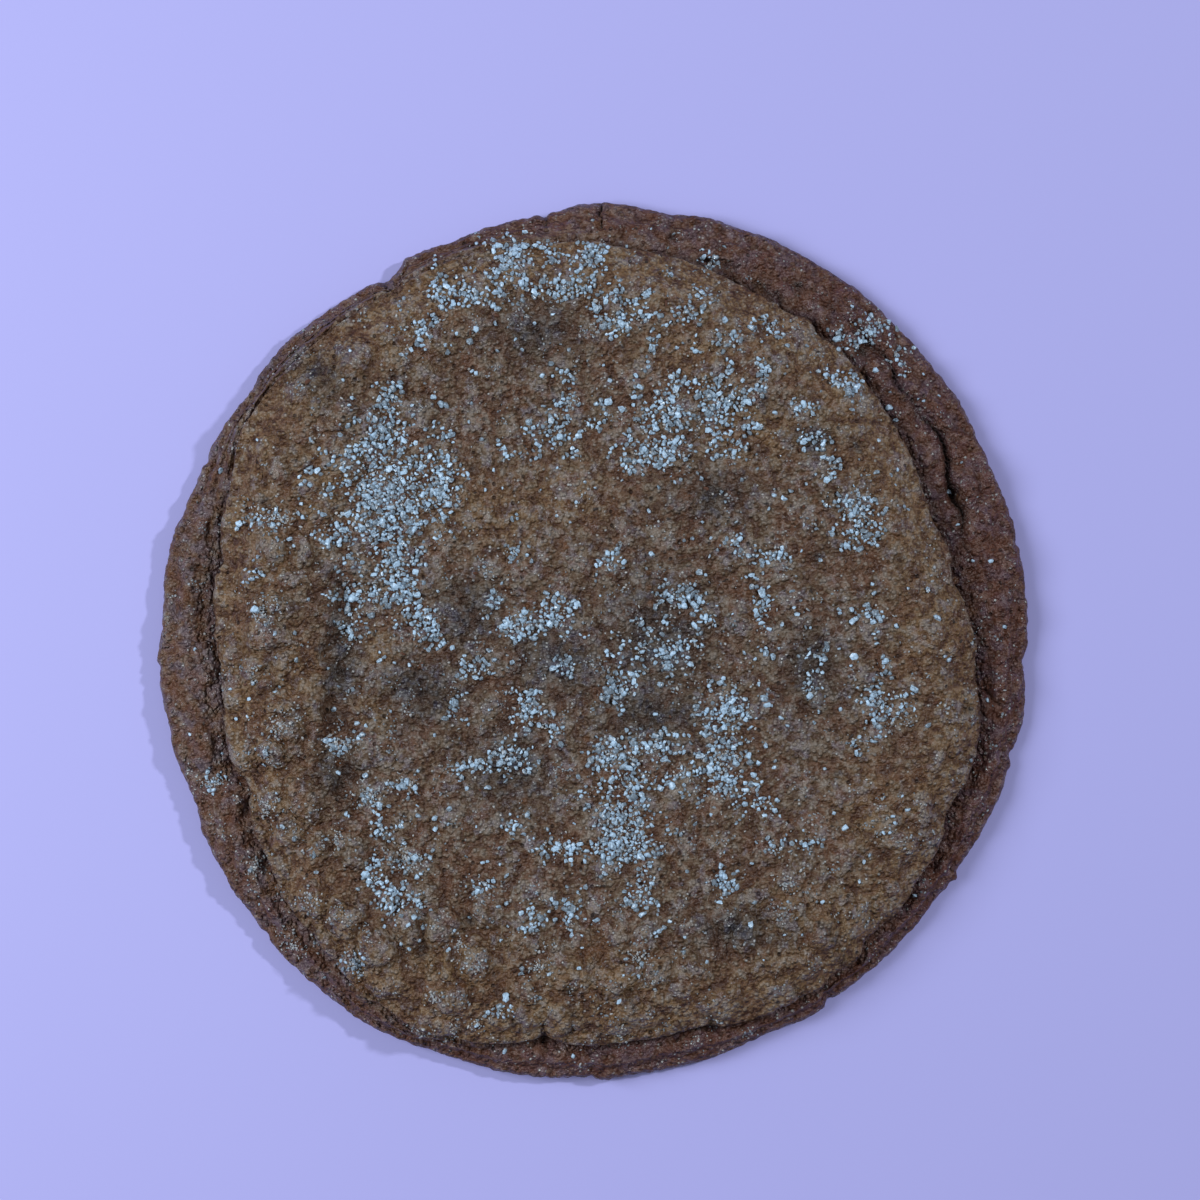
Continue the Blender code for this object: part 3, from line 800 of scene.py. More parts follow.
def press_details(body, layers, tree):
    """Presses the pits and cracks in and paints shade in them, and marks the coloured patches."""
    for x, y, radius, depth in PITS:
        for vert, away in near(tree, body, x, y, 2.5 * radius):
            fall = math.exp(-((away / radius) ** 2))
            vert.co.z -= depth * MM * fall
            raise_mark(vert, layers["pit_shade"], 1.3 * fall)
    for x, y, radius in RUST_SPOTS:
        for vert, away in near(tree, body, x, y, 2.5 * radius):
            raise_mark(vert, layers["rust"], math.exp(-((away / radius) ** 2)))
    # Each crack is pressed in and gets painted shade along it.
    for x_1, y_1, x_2, y_2, half_width, depth in CRACKS:
        start, end = Vector((x_1, y_1)), Vector((x_2, y_2))
        run = end - start
        middle = (start + end) / 2
        for vert, _ in near(tree, body, *middle, run.length / 2 + 3.0 * half_width):
            place = vert.co.xy / MM + noise.noise_vector(vert.co / CRACK_SWAY_SIZE).xy * CRACK_SWAY
            share = min(1.0, max(0.0, (place - start).dot(run) / run.length_squared))
            fall = math.exp(-(((place - start - run * share).length / half_width) ** 2))
            vert.co.z -= depth * MM * fall
            raise_mark(vert, layers["pit_shade"], 0.75 * fall)
    for mark, patches in (("grey", GREY_PATCHES), ("yellow", YELLOW_PATCHES)):
        for x, y, half_x, half_y in patches:
            for vert, _ in near(tree, body, x, y, 2.0 * max(half_x, half_y)):
                away = math.hypot((vert.co.x / MM - x) / half_x, (vert.co.y / MM - y) / half_y)
                raise_mark(vert, layers[mark], math.exp(-away * away))


def lump(place, size):
    """Rounded domes with creases between them, from 0 in a crease to 1 on top."""
    nearest, second = noise.voronoi(place / size)[0][:2]
    dome = 1.0 - min(1.0, nearest / 0.85) ** 2
    return dome * (0.3 + 0.7 * smooth((second - nearest) / 0.32))


def roughen(body, layers, settings):
    """Raises blisters, knobs, crumbs and grit along the surface's own normals, and marks what is raised."""
    body.normal_update()
    moves = []
    for vert in body.verts:
        relief = vert[layers["relief"]]
        if relief <= 0.0:
            continue
        place = vert.co
        wide = noise.noise_vector(place / (3.2 * MM)) * 1.1 * MM
        share = vert[layers["blister"]]
        blister = lump(place + wide, settings.blister_size)
        knobbed = max(0.5 * share, vert[layers["knob"]])
        knob = lump(place + 0.6 * wide, settings.knob_size)
        crumb = lump(place + 0.3 * wide, settings.crumb_size)
        raised = blend(0.7 * blister + 0.3 * knob, knob, vert[layers["knob"]])
        raised = blend(0.5, raised, min(1.0, 0.45 + share))
        vert[layers["lump"]] = blend(raised, crumb, 0.25)
        upwards = max(0.1, vert.normal.z) ** 3
        high = settings.blister_height * share * (blister - 0.45) * upwards
        high += settings.knob_height * knobbed * (knob - 0.45) * upwards
        high += settings.crumb_height * (crumb - 0.3) * (0.35 + 0.65 * upwards)
        high += 0.7 * settings.crumb_height * noise.noise(place / (1.7 * MM) + Vector((3.0, 8.0, 1.0)))
        high += settings.grit_height * noise.noise(place / (0.62 * MM))
        moves.append((vert, vert.normal * (high * relief)))
    for vert, move in moves:
        vert.co += move


def blister_share(x, y, mark_rim):
    radius = math.hypot(x, y)
    outwards = smooth((radius / CAD_HIGH.x - BLISTERS_FROM) / 0.35)
    share = blend(0.35, BLISTERS.at(math.degrees(math.atan2(y, x))), outwards)
    return blend(share, 0.5, mark_rim)


def crust_mesh(settings):
    noise.seed_set(NOISE_SEED)
    body = bmesh.new()
    layers = {name: body.verts.layers.float.new(name) for name in MARKS}
    bmesh.ops.create_grid(body, x_segments=2 * RINGS, y_segments=2 * RINGS, size=1.0)
    for vert in body.verts:
        place, marks = place_on_ring(*ring_and_angle(vert.co, RINGS))
        vert.co = place
        for name, value in marks.items():
            vert[layers[name]] = value
        vert[layers["relief"]] = 1.0
        vert[layers["blister"]] = blister_share(place.x, place.y, marks.get("knob", 0.0))
    body.verts.ensure_lookup_table()
    tree = kdtree.KDTree(len(body.verts))
    for vert in body.verts:
        tree.insert(Vector((vert.co.x, vert.co.y, 0.0)), vert.index)
    tree.balance()
    press_details(body, layers, tree)
    foot = add_outer_edge(body, layers)
    add_underside(body, layers, foot)
    bmesh.ops.recalc_face_normals(body, faces=body.faces)
    roughen(body, layers, settings)
    centre_on_frame(body)
    mesh = bpy.data.meshes.new("baked_biscuit")
    body.to_mesh(mesh)
    body.free()
    mesh.shade_smooth()
    return mesh


def centre_on_frame(body):
    """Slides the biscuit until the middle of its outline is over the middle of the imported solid."""
    middle = Vector((0.0, 0.0, 0.0))
    for axis in (0, 1):
        values = [vert.co[axis] for vert in body.verts]
        middle[axis] = (CAD_LOW[axis] + CAD_HIGH[axis] - min(values) - max(values)) / 2
    bmesh.ops.translate(body, verts=body.verts, vec=middle)
    for vert in body.verts:
        vert.co.z = max(vert.co.z, CAD_LOW.z)


# ---------------------------------------------------------------------------------------------------------
# Materials
# ---------------------------------------------------------------------------------------------------------


class Finish:
    """Builds one procedural material on Object coordinates. Sizes are in metres."""

    def __init__(self, name):
        self.material = bpy.data.materials.new(name)
        self.material.use_nodes = True
        self.tree = self.material.node_tree
        self.shader = self.tree.nodes["Principled BSDF"]
        self.place = self.tree.nodes.new("ShaderNodeTexCoord").outputs["Object"]

    def put(self, node, socket, value):
        """A number or colour is set on the socket; another node's output is linked to it."""
        if isinstance(value, bpy.types.NodeSocket):
            self.tree.links.new(value, node.inputs[socket])
        else:
            node.inputs[socket].default_value = value

    def moved(self, seed):
        node = self.tree.nodes.new("ShaderNodeMapping")
        self.put(node, "Vector", self.place)
        self.put(node, "Location", (0.013 * seed, 0.017 * seed, 0.011 * seed))
        return node.outputs["Vector"]

    def noise(self, size, seed, detail, rough=0.5):
        node = self.tree.nodes.new("ShaderNodeTexNoise")
        self.put(node, "Vector", self.moved(seed))
        self.put(node, "Scale", 1.0 / size)
        self.put(node, "Detail", detail)
        self.put(node, "Roughness", rough)
        return node.outputs["Fac"]

    def cells(self, size, seed):
        """(distance to the nearest cell's middle, and two random numbers of that cell's own)"""
        node = self.tree.nodes.new("ShaderNodeTexVoronoi")
        self.put(node, "Vector", self.moved(seed))
        self.put(node, "Scale", 1.0 / size)
        split = self.tree.nodes.new("ShaderNodeSeparateColor")
        self.put(split, "Color", node.outputs["Color"])
        return node.outputs["Distance"], split.outputs[0], split.outputs[1]

    def mark(self, name):
        node = self.tree.nodes.new("ShaderNodeAttribute")
        node.attribute_name = name
        return node.outputs["Fac"]

    def ramp(self, value, low, high, to_low=0.0, to_high=1.0, kind="SMOOTHSTEP"):
        node = self.tree.nodes.new("ShaderNodeMapRange")
        node.interpolation_type = kind
        for socket, number in enumerate((value, low, high, to_low, to_high)):
            self.put(node, socket, number)
        return node.outputs["Result"]

    def spread(self, value, weight):
        """A noise stretched to its full range, times a weight."""
        return self.ramp(value, 0.33, 0.67, 0.0, weight)

    def sum(self, operation, first, second):
        node = self.tree.nodes.new("ShaderNodeMath")
        node.operation = operation
        self.put(node, 0, first)
        self.put(node, 1, second)
        return node.outputs[0]

    def times(self, first, second):
        return self.sum("MULTIPLY", first, second)

    def weighted(self, *parts):
        """The sum of the values of (value, weight) parts, each times its weight."""
        value, weight = parts[0]
        total = self.times(value, weight)
        for value, weight in parts[1:]:
            total = self.sum("ADD", total, self.times(value, weight))
        return total

    def mix(self, share, first, second, how="MIX"):
        node = self.tree.nodes.new("ShaderNodeMix")
        node.data_type = "RGBA"
        node.blend_type = how
        node.clamp_factor = True
        self.put(node, 0, share)
        self.put(node, 6, first)
        self.put(node, 7, second)
        return node.outputs[2]

    def shaded(self, share, colour, shade):
        """A share of the colour is darkened by a shade."""
        return self.mix(share, colour, self.mix(1.0, colour, shade, "MULTIPLY"))

    def bump(self, height, depth):
        node = self.tree.nodes.new("ShaderNodeBump")
        self.put(node, "Height", height)
        self.put(node, "Distance", depth)
        self.put(node, "Strength", 1.0)
        return node.outputs["Normal"]


def rgba(value):
    return (value[0], value[1], value[2], 1.0)


# Summed tones of the crumb, with painted shade and painted light in them: where it turns to the darkest
# crumb, and to the palest
TO_GAP = (1.462, 1.027)
TO_PALE = (1.357, 1.795)


def crust_finish(settings):
    finish = Finish("baked_crust")
    mid = finish.noise(1.9 * MM, seed=2, detail=3.0, rough=0.55)
    crumb = finish.noise(1.0 * MM, seed=16, detail=0.0)
    soft = finish.noise(0.55 * MM, seed=3, detail=1.0)
    grit = finish.noise(0.27 * MM, seed=13, detail=1.0)
    veil = finish.noise(1.5 * MM, seed=14, detail=3.0)
    soak = finish.noise(2.3 * MM, seed=11, detail=3.0, rough=0.6)
    grain_away, grain_own, _ = finish.cells(0.55 * MM, seed=15)
    salt_away, salt_own, salt_tone = finish.cells(0.42 * MM, seed=4)
    pore_away, pore_own, _ = finish.cells(1.0 * MM, seed=5)
    spice_away, spice_own, _ = finish.cells(2.1 * MM, seed=6)
    top = finish.mark("lump")

    # The crumb: olive, lilac on the lumps, russet where spice soaked in, and gold behind the lip
    veiled = finish.sum("ADD", finish.spread(veil, 0.3), finish.spread(soft, 0.2))
    veiled = finish.sum("ADD", veiled, finish.times(top, 0.5))
    colour = finish.mix(finish.ramp(veiled, 0.45, 0.75), rgba(settings.olive), rgba(settings.lilac))
    colour = finish.mix(finish.ramp(soak, 0.45, 0.62, 0.0, 0.7), colour, rgba(settings.russet))
    golden = finish.sum("MAXIMUM", finish.mark("gold"), finish.mark("yellow"))
    gold_share = finish.times(golden, finish.ramp(veiled, 0.7, 0.35, 0.15, 0.85))
    colour = finish.mix(gold_share, colour, rgba(settings.gold))
    # Russet down in the creases between the lumps: partly their own colour, partly painted shade
    colour = finish.mix(finish.ramp(top, 0.42, 0.1, 0.0, 0.6), colour, rgba(settings.russet))

    # Painted shade down between the grains and lumps and painted light on their tops, with the crumb's own
    # random tone, at five scales
    dome = finish.ramp(grain_away, 0.62, 0.2)
    speckle = finish.times(grain_own, dome)
    crumb_tone_and_shade = finish.weighted((grit, 0.38), (soft, 0.8), (crumb, 0.65), (mid, 0.4), (speckle, 0.3), (top, 0.5))
    colour = finish.mix(finish.ramp(crumb_tone_and_shade, *TO_GAP, kind="LINEAR"), colour, rgba(settings.gap))
    colour = finish.mix(finish.ramp(crumb_tone_and_shade, *TO_PALE, kind="LINEAR"), colour, rgba(settings.pale))

    # Sunken patches are greyer. The rim is misty and singed by turns, darker by its own crust and painted
    # shade; the crease gets painted shade.
    sunken = finish.times(finish.mark("grey"), finish.ramp(veil, 0.35, 0.6, 0.6, 1.0))
    colour = finish.shaded(sunken, colour, rgba(settings.grey))
    misty = finish.times(finish.mark("knob"), finish.ramp(veil, 0.42, 0.62, 0.0, 0.7))
    colour = finish.mix(misty, colour, rgba(settings.lilac))
    singed = finish.times(finish.mark("knob"), finish.ramp(soak, 0.4, 0.6, 0.6, 0.0))
    colour = finish.mix(singed, colour, rgba(settings.russet))
    colour = finish.shaded(finish.mark("rim_tone_and_shade"), colour, rgba(settings.rim_tone_and_shade))
    colour = finish.shaded(finish.mark("crease"), colour, rgba(settings.crease))

    # Painted glints: grains of sugar that melted in, painted bright as highlights, in clusters on top of the
    # lumps, each with its own strength
    dusted = finish.sum("ADD", salt_own, finish.ramp(veiled, 0.42, 0.74, 0.12, 0.66))
    glint = finish.times(finish.ramp(dusted, 1.03, 1.13), finish.ramp(salt_away, 0.46, 0.22))
    glint = finish.times(glint, finish.ramp(salt_tone, 0.1, 1.0, 0.15, 1.0))
    colour = finish.mix(glint, colour, rgba(settings.glint))

    # Pores and pressed pits, darkened with painted shade, and rust-coloured spice
    pore = finish.times(finish.ramp(pore_own, 0.7, 0.85), finish.ramp(pore_away, 0.26, 0.08))
    colour = finish.mix(finish.times(pore, 0.7), colour, rgba(settings.pit_shade))
    spice = finish.times(finish.ramp(spice_own, 0.72, 0.8), finish.ramp(spice_away, 0.24, 0.1))
    rust = finish.sum("MAXIMUM", finish.times(finish.mark("rust"), finish.ramp(soft, 0.3, 0.55)), spice)
    colour = finish.mix(finish.times(rust, 0.75), colour, rgba(settings.rust))
    pressed = finish.times(finish.mark("pit_shade"), finish.ramp(soft, 0.35, 0.6, 0.45, 0.95))
    colour = finish.mix(pressed, colour, rgba(settings.pit_shade))

    # The browned underside, with paler pores
    base_tone = finish.mix(finish.ramp(mid, 0.35, 0.65), rgba(settings.gap), rgba(settings.base))
    colour = finish.mix(finish.mark("base"), colour, base_tone)
    finish.put(finish.shader, "Base Color", colour)

    # Melted sugar makes the tops and some of the grains glossier.
    rough = finish.ramp(veiled, 0.3, 0.8, 0.5, 0.3)
    rough = finish.sum("SUBTRACT", rough, finish.times(glint, 0.12))
    finish.put(finish.shader, "Roughness", rough)
    finish.put(finish.shader, "IOR", 1.45)
    finish.put(finish.shader, "Specular IOR Level", 0.5)

    grains = ((mid, 0.35), (soft, 0.48), (grit, 0.28), (dome, 0.3), (glint, 0.35), (pore, -0.6))
    finish.put(finish.shader, "Normal", finish.bump(finish.weighted(*grains), 0.8 * MM))
    return finish.material


def sugar_finish(name, clear, white, roughness):
    """Crystals that differ from clear to frosted, each by its own tint."""
    finish = Finish(name)
    frost = finish.noise(0.22 * MM, seed=7, detail=2.0)
    share = finish.sum("ADD", finish.mark("tint"), finish.ramp(frost, 0.35, 0.65, -0.35, 0.35))
    finish.put(finish.shader, "Base Color", finish.mix(share, rgba(clear), rgba(white)))
    finish.put(finish.shader, "Roughness", finish.ramp(frost, 0.35, 0.65, roughness, roughness + 0.25))
    finish.put(finish.shader, "IOR", 1.54)
    finish.put(finish.shader, "Normal", finish.bump(frost, 0.04 * MM))
    return finish.material


def spice_finish(settings):
    finish = Finish("ground_spice")
    tone = finish.noise(0.2 * MM, seed=8, detail=2.0)
    colour = finish.mix(finish.mark("tint"), rgba(settings.dark), rgba(settings.red))
    colour = finish.mix(finish.ramp(tone, 0.35, 0.65, 0.0, 0.4), colour, rgba(settings.dark))
    finish.put(finish.shader, "Base Color", colour)
    finish.put(finish.shader, "Roughness", finish.ramp(tone, 0.3, 0.7, 0.55, 0.85))
    finish.put(finish.shader, "Normal", finish.bump(tone, 0.05 * MM))
    return finish.material


def crumb_finish(settings):
    """Loose crumbs take the crust's own tones, each by its own tint."""
    finish = Finish("loose_crumb")
    grain = finish.noise(0.4 * MM, seed=9, detail=3.0, rough=0.6)
    crust = finish.mix(finish.ramp(grain, 0.38, 0.62), rgba(settings.gap), rgba(settings.olive))
    darker = finish.mix(1.0, crust, rgba(settings.rim_tone_and_shade), "MULTIPLY")
    colour = finish.mix(finish.mark("tint"), darker, crust)
    finish.put(finish.shader, "Base Color", colour)
    finish.put(finish.shader, "Roughness", finish.ramp(grain, 0.3, 0.7, 0.8, 0.55))
    finish.put(finish.shader, "Normal", finish.bump(grain, 0.12 * MM))
    return finish.material


def floor_finish(settings):
    finish = Finish("pale_floor")
    tone = finish.noise(60.0 * MM, seed=10, detail=1.0)
    worn = [0.985 * value for value in settings.floor]
    finish.put(finish.shader, "Base Color", finish.mix(tone, rgba(settings.floor), rgba(worn)))
    finish.put(finish.shader, "Roughness", finish.ramp(tone, 0.3, 0.7, 0.6, 0.66))
    finish.put(finish.shader, "Specular IOR Level", 0.2)
    return finish.material


# ---------------------------------------------------------------------------------------------------------
# Strewn pieces
# ---------------------------------------------------------------------------------------------------------


def finished(body, name):
    mesh = bpy.data.meshes.new(name)
    body.to_mesh(mesh)
    body.free()
    mesh.attributes.new("tint", "FLOAT", "POINT")
    return mesh


def jitter(rng, body, most):
    for vert in body.verts:
        vert.co += Vector([rng.uniform(-most, most) for _ in range(3)])


def block_shape(rng):
    """One sugar crystal of about unit width: an uneven block with worn edges."""
    body = bmesh.new()
    bmesh.ops.create_cube(body, size=0.85)
    size = Vector((rng.uniform(0.9, 1.3), rng.uniform(0.7, 1.05), rng.uniform(0.6, 0.95)))
    bmesh.ops.scale(body, vec=size, verts=body.verts)
    jitter(rng, body, 0.17)
    bmesh.ops.bevel(
        body, geom=body.edges[:], offset=rng.uniform(0.16, 0.24), offset_type="OFFSET", segments=1,
        profile=0.5, affect="EDGES", material=-1, clamp_overlap=True,
    )  # fmt: skip
    jitter(rng, body, 0.06)
    bmesh.ops.recalc_face_normals(body, faces=body.faces)
    return finished(body, "block")


def shard_shape(rng):
    """One broken sugar crystal of about unit width, with uneven facets."""
    body = bmesh.new()
    bmesh.ops.create_icosphere(body, subdivisions=1, radius=0.5)
    size = Vector((rng.uniform(0.9, 1.5), rng.uniform(0.65, 1.0), rng.uniform(0.6, 0.9)))
    bmesh.ops.scale(body, vec=size, verts=body.verts)
    jitter(rng, body, 0.14)
    return finished(body, "shard")


def grain_shape(rng, uneven):
    """One grain of about unit width, rounded and uneven."""
    body = bmesh.new()
    bmesh.ops.create_icosphere(body, subdivisions=1, radius=0.5)
    bmesh.ops.scale(body, vec=(rng.uniform(0.9, 1.7), rng.uniform(0.6, 1.0), 0.9), verts=body.verts)
    for vert in body.verts:
        vert.co *= rng.uniform(1.0 - uneven, 1.0 + uneven)
    return finished(body, "grain")


def crumb_shape(rng):
    """One loose crumb of about unit width, knobbly."""
    body = bmesh.new()
    bmesh.ops.create_icosphere(body, subdivisions=2, radius=0.5)
    seed = Vector([rng.uniform(0.0, 50.0) for _ in range(3)])
    for vert in body.verts:
        vert.co *= 1.0 + 0.45 * noise.noise(vert.co * 2.6 + seed) + 0.2 * noise.noise(vert.co * 6.0 + seed)
    return finished(body, "crumb")


def under(surface, x, y):
    """(place, normal, face) of the surface straight below a place, or of nothing."""
    return surface.ray_cast(Vector((x, y, 1.0)), Vector((0.0, 0.0, -1.0)))[:3]


def uneven(rng, usual, least, most, spread, skew=0.0):
    """A random size around the usual one, kept between its least and its most share of that."""
    return usual * min(most, max(least, rng.lognormvariate(skew, spread)))


def tint_near(rng, usual, spread):
    """A random tint from 0 to 1 around the usual one."""
    return min(1.0, max(0.0, rng.gauss(usual, spread)))


def resting(rng, surface, x, y, size, sunk, flat=1.0):
    """The matrix of a piece of a size, turned at random, lying on the surface with a share of it sunk in."""
    hit, normal, _ = under(surface, x, y)
    if hit is None:
        return None
    turn = normal.to_track_quat("Z", "Y").to_matrix().to_4x4()
    spin = Matrix.Rotation(rng.uniform(0.0, math.tau), 4, "Z")
    tilt = Matrix.Rotation(rng.gauss(0.0, TILT_SPREAD), 4, "X")
    tumble = spin @ tilt
    grow = Matrix.Diagonal((size, size, size * flat, 1.0))
    centre = hit + normal * size * flat * (0.5 - sunk)
    return Matrix.Translation(centre) @ turn @ tumble @ grow


def strew(name, pieces, shapes, rng):
    """Joins a copy of a random shape at each (matrix, tint) into one mesh."""
    body = bmesh.new()
    for matrix, tint in pieces:
        copy = rng.choice(shapes).copy()
        copy.transform(matrix)
        copy.attributes["tint"].data.foreach_set("value", [tint] * len(copy.vertices))
        body.from_mesh(copy)
        bpy.data.meshes.remove(copy)
    mesh = bpy.data.meshes.new(name)
    body.to_mesh(mesh)
    body.free()
    for shape in shapes:
        bpy.data.meshes.remove(shape)
    return mesh


def add_piece(mesh, material):
    """Shows a finished mesh as a piece of the biscuit."""
    mesh.materials.append(material)
    piece = bpy.data.objects.new(mesh.name, mesh)
    bpy.context.scene.collection.objects.link(piece)
    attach(piece, BODY)
    return piece


def raised_places(rng, surface, wanted):
    """Small clusters of random places, mostly on top of the lumps, and fewer on the rim."""
    crust = bpy.data.meshes["baked_biscuit"]
    raised = crust.attributes["lump"].data
    places = []
    while len(places) < wanted:
        x, y = on_top(rng, DUST_REACH)
        face = under(surface, x, y)[2]
        if face is None:
            continue
        high = smooth((raised[crust.polygons[face].vertices[0]].value - STICKS_FROM) / STICKS_OVER)
        degrees = math.degrees(math.atan2(y, x))
        beyond = smooth((math.hypot(x, y) - lip_radius(degrees)) / MM)
        if rng.random() < (BLISTERS.at(degrees) * high + SELDOM) * (1.0 - 0.5 * beyond):
            for _ in range(rng.randint(*CLUSTER_GRAINS)):
                places.append((x + rng.gauss(0.0, CLUSTER), y + rng.gauss(0.0, CLUSTER)))
    return places


def crust_surface():
    crust = bpy.data.objects.get("baked_biscuit")
    if crust is None:
        raise RuntimeError("bake the crust first")
    return BVHTree.FromObject(crust, bpy.context.evaluated_depsgraph_get())


def in_patch(rng, patch, spread=1.0):
    """A random place in a patch, thicker towards its middle."""
    x, y, half_x, half_y = patch
    reach = min(1.7, abs(rng.gauss(0.0, 0.62)) + 0.15 * rng.random()) * spread
    turn = rng.uniform(0.0, math.tau)
    return (x + half_x * reach * math.cos(turn)) * MM, (y + half_y * reach * math.sin(turn)) * MM


def on_top(rng, most):
    """A random place on the biscuit inside a radius."""
    return at(most * math.sqrt(rng.random()), rng.uniform(0.0, 360.0))


def chain(rng, place, step):
    """A few places in a row from the first, each a step from the last."""
    x, y = place
    heading = rng.uniform(0.0, math.tau)
    for _ in range(rng.choice((1, 1, 2, 3, 4))):
        yield x, y
        heading += rng.gauss(0.0, 0.9)
        x += step * math.cos(heading)
        y += step * math.sin(heading)


def patch_area(patch):
    """Square millimetres of an oval patch."""
    return math.pi * patch[2] * patch[3]


def patch_places(rng, thickness, step):
    """Places of the coarse crystals: chains of touching crystals in the patches, and lone ones."""
    places = []
    for patches, on_each in ((THICK_SUGAR, THICK), (EVEN_SUGAR, EVEN), (THIN_SUGAR, THIN)):
        for patch in patches:
            wanted = len(places) + max(2, round(patch_area(patch) * on_each * thickness))
            while len(places) < wanted:
                places += chain(rng, in_patch(rng, patch), step)
    for x, y in LONE_CRYSTALS:
        places.append((x * MM, y * MM))
    return places


def spaced(places, gap):
    """Drops each place that is too near an earlier one."""
    kept = []
    taken = {}
    for x, y in places:
        column, row = int(x // gap), int(y // gap)
        cells = [(column + i, row + j) for i in (-1, 0, 1) for j in (-1, 0, 1)]
        around = [other for cell in cells for other in taken.get(cell, ())]
        if all(math.hypot(x - other_x, y - other_y) >= gap for other_x, other_y in around):
            taken.setdefault((column, row), []).append((x, y))
            kept.append((x, y))
    return kept


def coarse_crystals(rng, surface, settings):
    """(matrix, tint) of each coarse crystal: in the patches, alone and astray."""
    places = patch_places(rng, settings.thickness, CHAIN_STEP * settings.crystal_size)
    places += [on_top(rng, STRAY_REACH) for _ in range(settings.stray_crystals)]
    crystals = []
    for x, y in spaced(places, LEAST_GAP * settings.crystal_size):
        size = uneven(rng, settings.crystal_size, 0.55, 1.8, 0.3, -0.05)
        matrix = resting(rng, surface, x, y, size, rng.uniform(0.2, 0.55))
        if matrix:
            crystals.append((matrix, tint_near(rng, CRYSTAL_TINT, CRYSTAL_TINT_SPREAD)))
    return crystals


def fine_places(rng, surface, settings):
    """(x, y, usual tint) of each fine grain: in the patches, on the glazed lumps and astray."""
    dust = []
    for patch in (*THICK_SUGAR, *EVEN_SUGAR, *THIN_SUGAR):
        wanted = max(2, round(patch_area(patch) * settings.dust_share))
        dust += [(*in_patch(rng, patch, DUST_SPREAD), DUST_TINT) for _ in range(wanted)]
    for patch in GLAZED:
        wanted = round(patch_area(patch) * settings.glaze_share)
        dust += [(*in_patch(rng, patch), GLAZE_TINT) for _ in range(wanted)]
    for x, y in raised_places(rng, surface, settings.stray_dust):
        dust.append((x, y, STRAY_TINT))
    return dust


def fine_grains(rng, surface, settings):
    """(matrix, tint) of each fine grain of sugar."""
    grains = []
    for x, y, usual_tint in fine_places(rng, surface, settings):
        size = uneven(rng, settings.dust_size, 0.5, 1.8, 0.3)
        matrix = resting(rng, surface, x, y, size, rng.uniform(0.15, 0.5))
        if matrix:
            grains.append((matrix, tint_near(rng, usual_tint, DUST_TINT_SPREAD)))
    return grains


def spice_specks(rng, surface, settings):
    """(matrix, tint) of each flat speck of spice, three in five of them red."""
    specks = []
    for _ in range(settings.specks):
        x, y = on_top(rng, OUTER.at(0.0) - SPECK_INSET)
        size = uneven(rng, settings.speck_size, 0.5, 2.0, 0.35)
        matrix = resting(rng, surface, x, y, size, rng.uniform(0.25, 0.5), 0.7)
        if matrix:
            specks.append((matrix, float(rng.random() < 0.6)))
    return specks


def edge_crumbs(rng, surface, settings):
    """(matrix, tint) of each loose crumb, three in five on the rim and paler ones along the lip."""
    crumbs = []
    for _ in range(settings.crumbs):
        degrees = rng.uniform(0.0, 360.0)
        if rng.random() < 0.6:
            radius = rng.uniform(lip_radius(degrees) + 0.3 * MM, OUTER.at(degrees) - 0.7 * MM)
            tint = rng.uniform(0.0, 0.45)
        else:
            radius = lip_radius(degrees) - abs(rng.gauss(0.2, 1.2)) * MM
            tint = rng.uniform(0.4, 1.0)
        x, y = at(radius, degrees)
        size = uneven(rng, settings.crumb_size, 0.5, 1.7, 0.3)
        matrix = resting(rng, surface, x, y, size, rng.uniform(0.5, 0.72), 0.8)
        if matrix:
            crumbs.append((matrix, tint))
    return crumbs


# ---------------------------------------------------------------------------------------------------------
# Operators
# ---------------------------------------------------------------------------------------------------------


class BISCUIT_OT_crust(bpy.types.Operator):
    """Bakes the biscuit itself: top, lip, crease, rim and underside in one closed mesh"""

    bl_idname = "biscuit.crust"
    bl_label = "Bake the Crust"

    def execute(self, context):
        settings = context.scene.biscuit_crust
        crust = add_piece(crust_mesh(settings), crust_finish(settings))
        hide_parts("biscuit")
        return {"FINISHED"}


class BISCUIT_OT_sugar(bpy.types.Operator):
    """Strews the coarse sugar crystals and the fine sugar between them"""

    bl_idname = "biscuit.sugar"
    bl_label = "Strew the Sugar"

    def execute(self, context):
        settings = context.scene.biscuit_sugar
        surface = crust_surface()
        rng = random.Random(20)
        crystals = coarse_crystals(rng, surface, settings)
        shapes = [block_shape(rng) for _ in range(10)] + [shard_shape(rng) for _ in range(20)]
        mesh = strew("coarse_sugar", crystals, shapes, rng)
        add_piece(mesh, sugar_finish("coarse_sugar", settings.clear, settings.white, 0.14))

        grains = fine_grains(rng, surface, settings)
        mesh = strew("fine_sugar", grains, [grain_shape(rng, 0.2) for _ in range(12)], rng)
        add_piece(mesh, sugar_finish("fine_sugar", settings.clear, settings.fine, 0.3))
        return {"FINISHED"}


class BISCUIT_OT_spice(bpy.types.Operator):
    """Strews specks of ground spice, and the loose crumbs of the rim, the lip and the edge"""

    bl_idname = "biscuit.spice"
    bl_label = "Strew Spice and Crumbs"

    def execute(self, context):
        settings = context.scene.biscuit_spice
        surface = crust_surface()
        rng = random.Random(31)
        specks = spice_specks(rng, surface, settings)
        mesh = strew("ground_spice", specks, [grain_shape(rng, 0.3) for _ in range(10)], rng)
        add_piece(mesh, spice_finish(settings))

        crumbs = edge_crumbs(rng, surface, settings)
        mesh = strew("loose_crumbs", crumbs, [crumb_shape(rng) for _ in range(12)], rng)
        mesh.shade_smooth()
        add_piece(mesh, crumb_finish(context.scene.biscuit_crust))
        return {"FINISHED"}


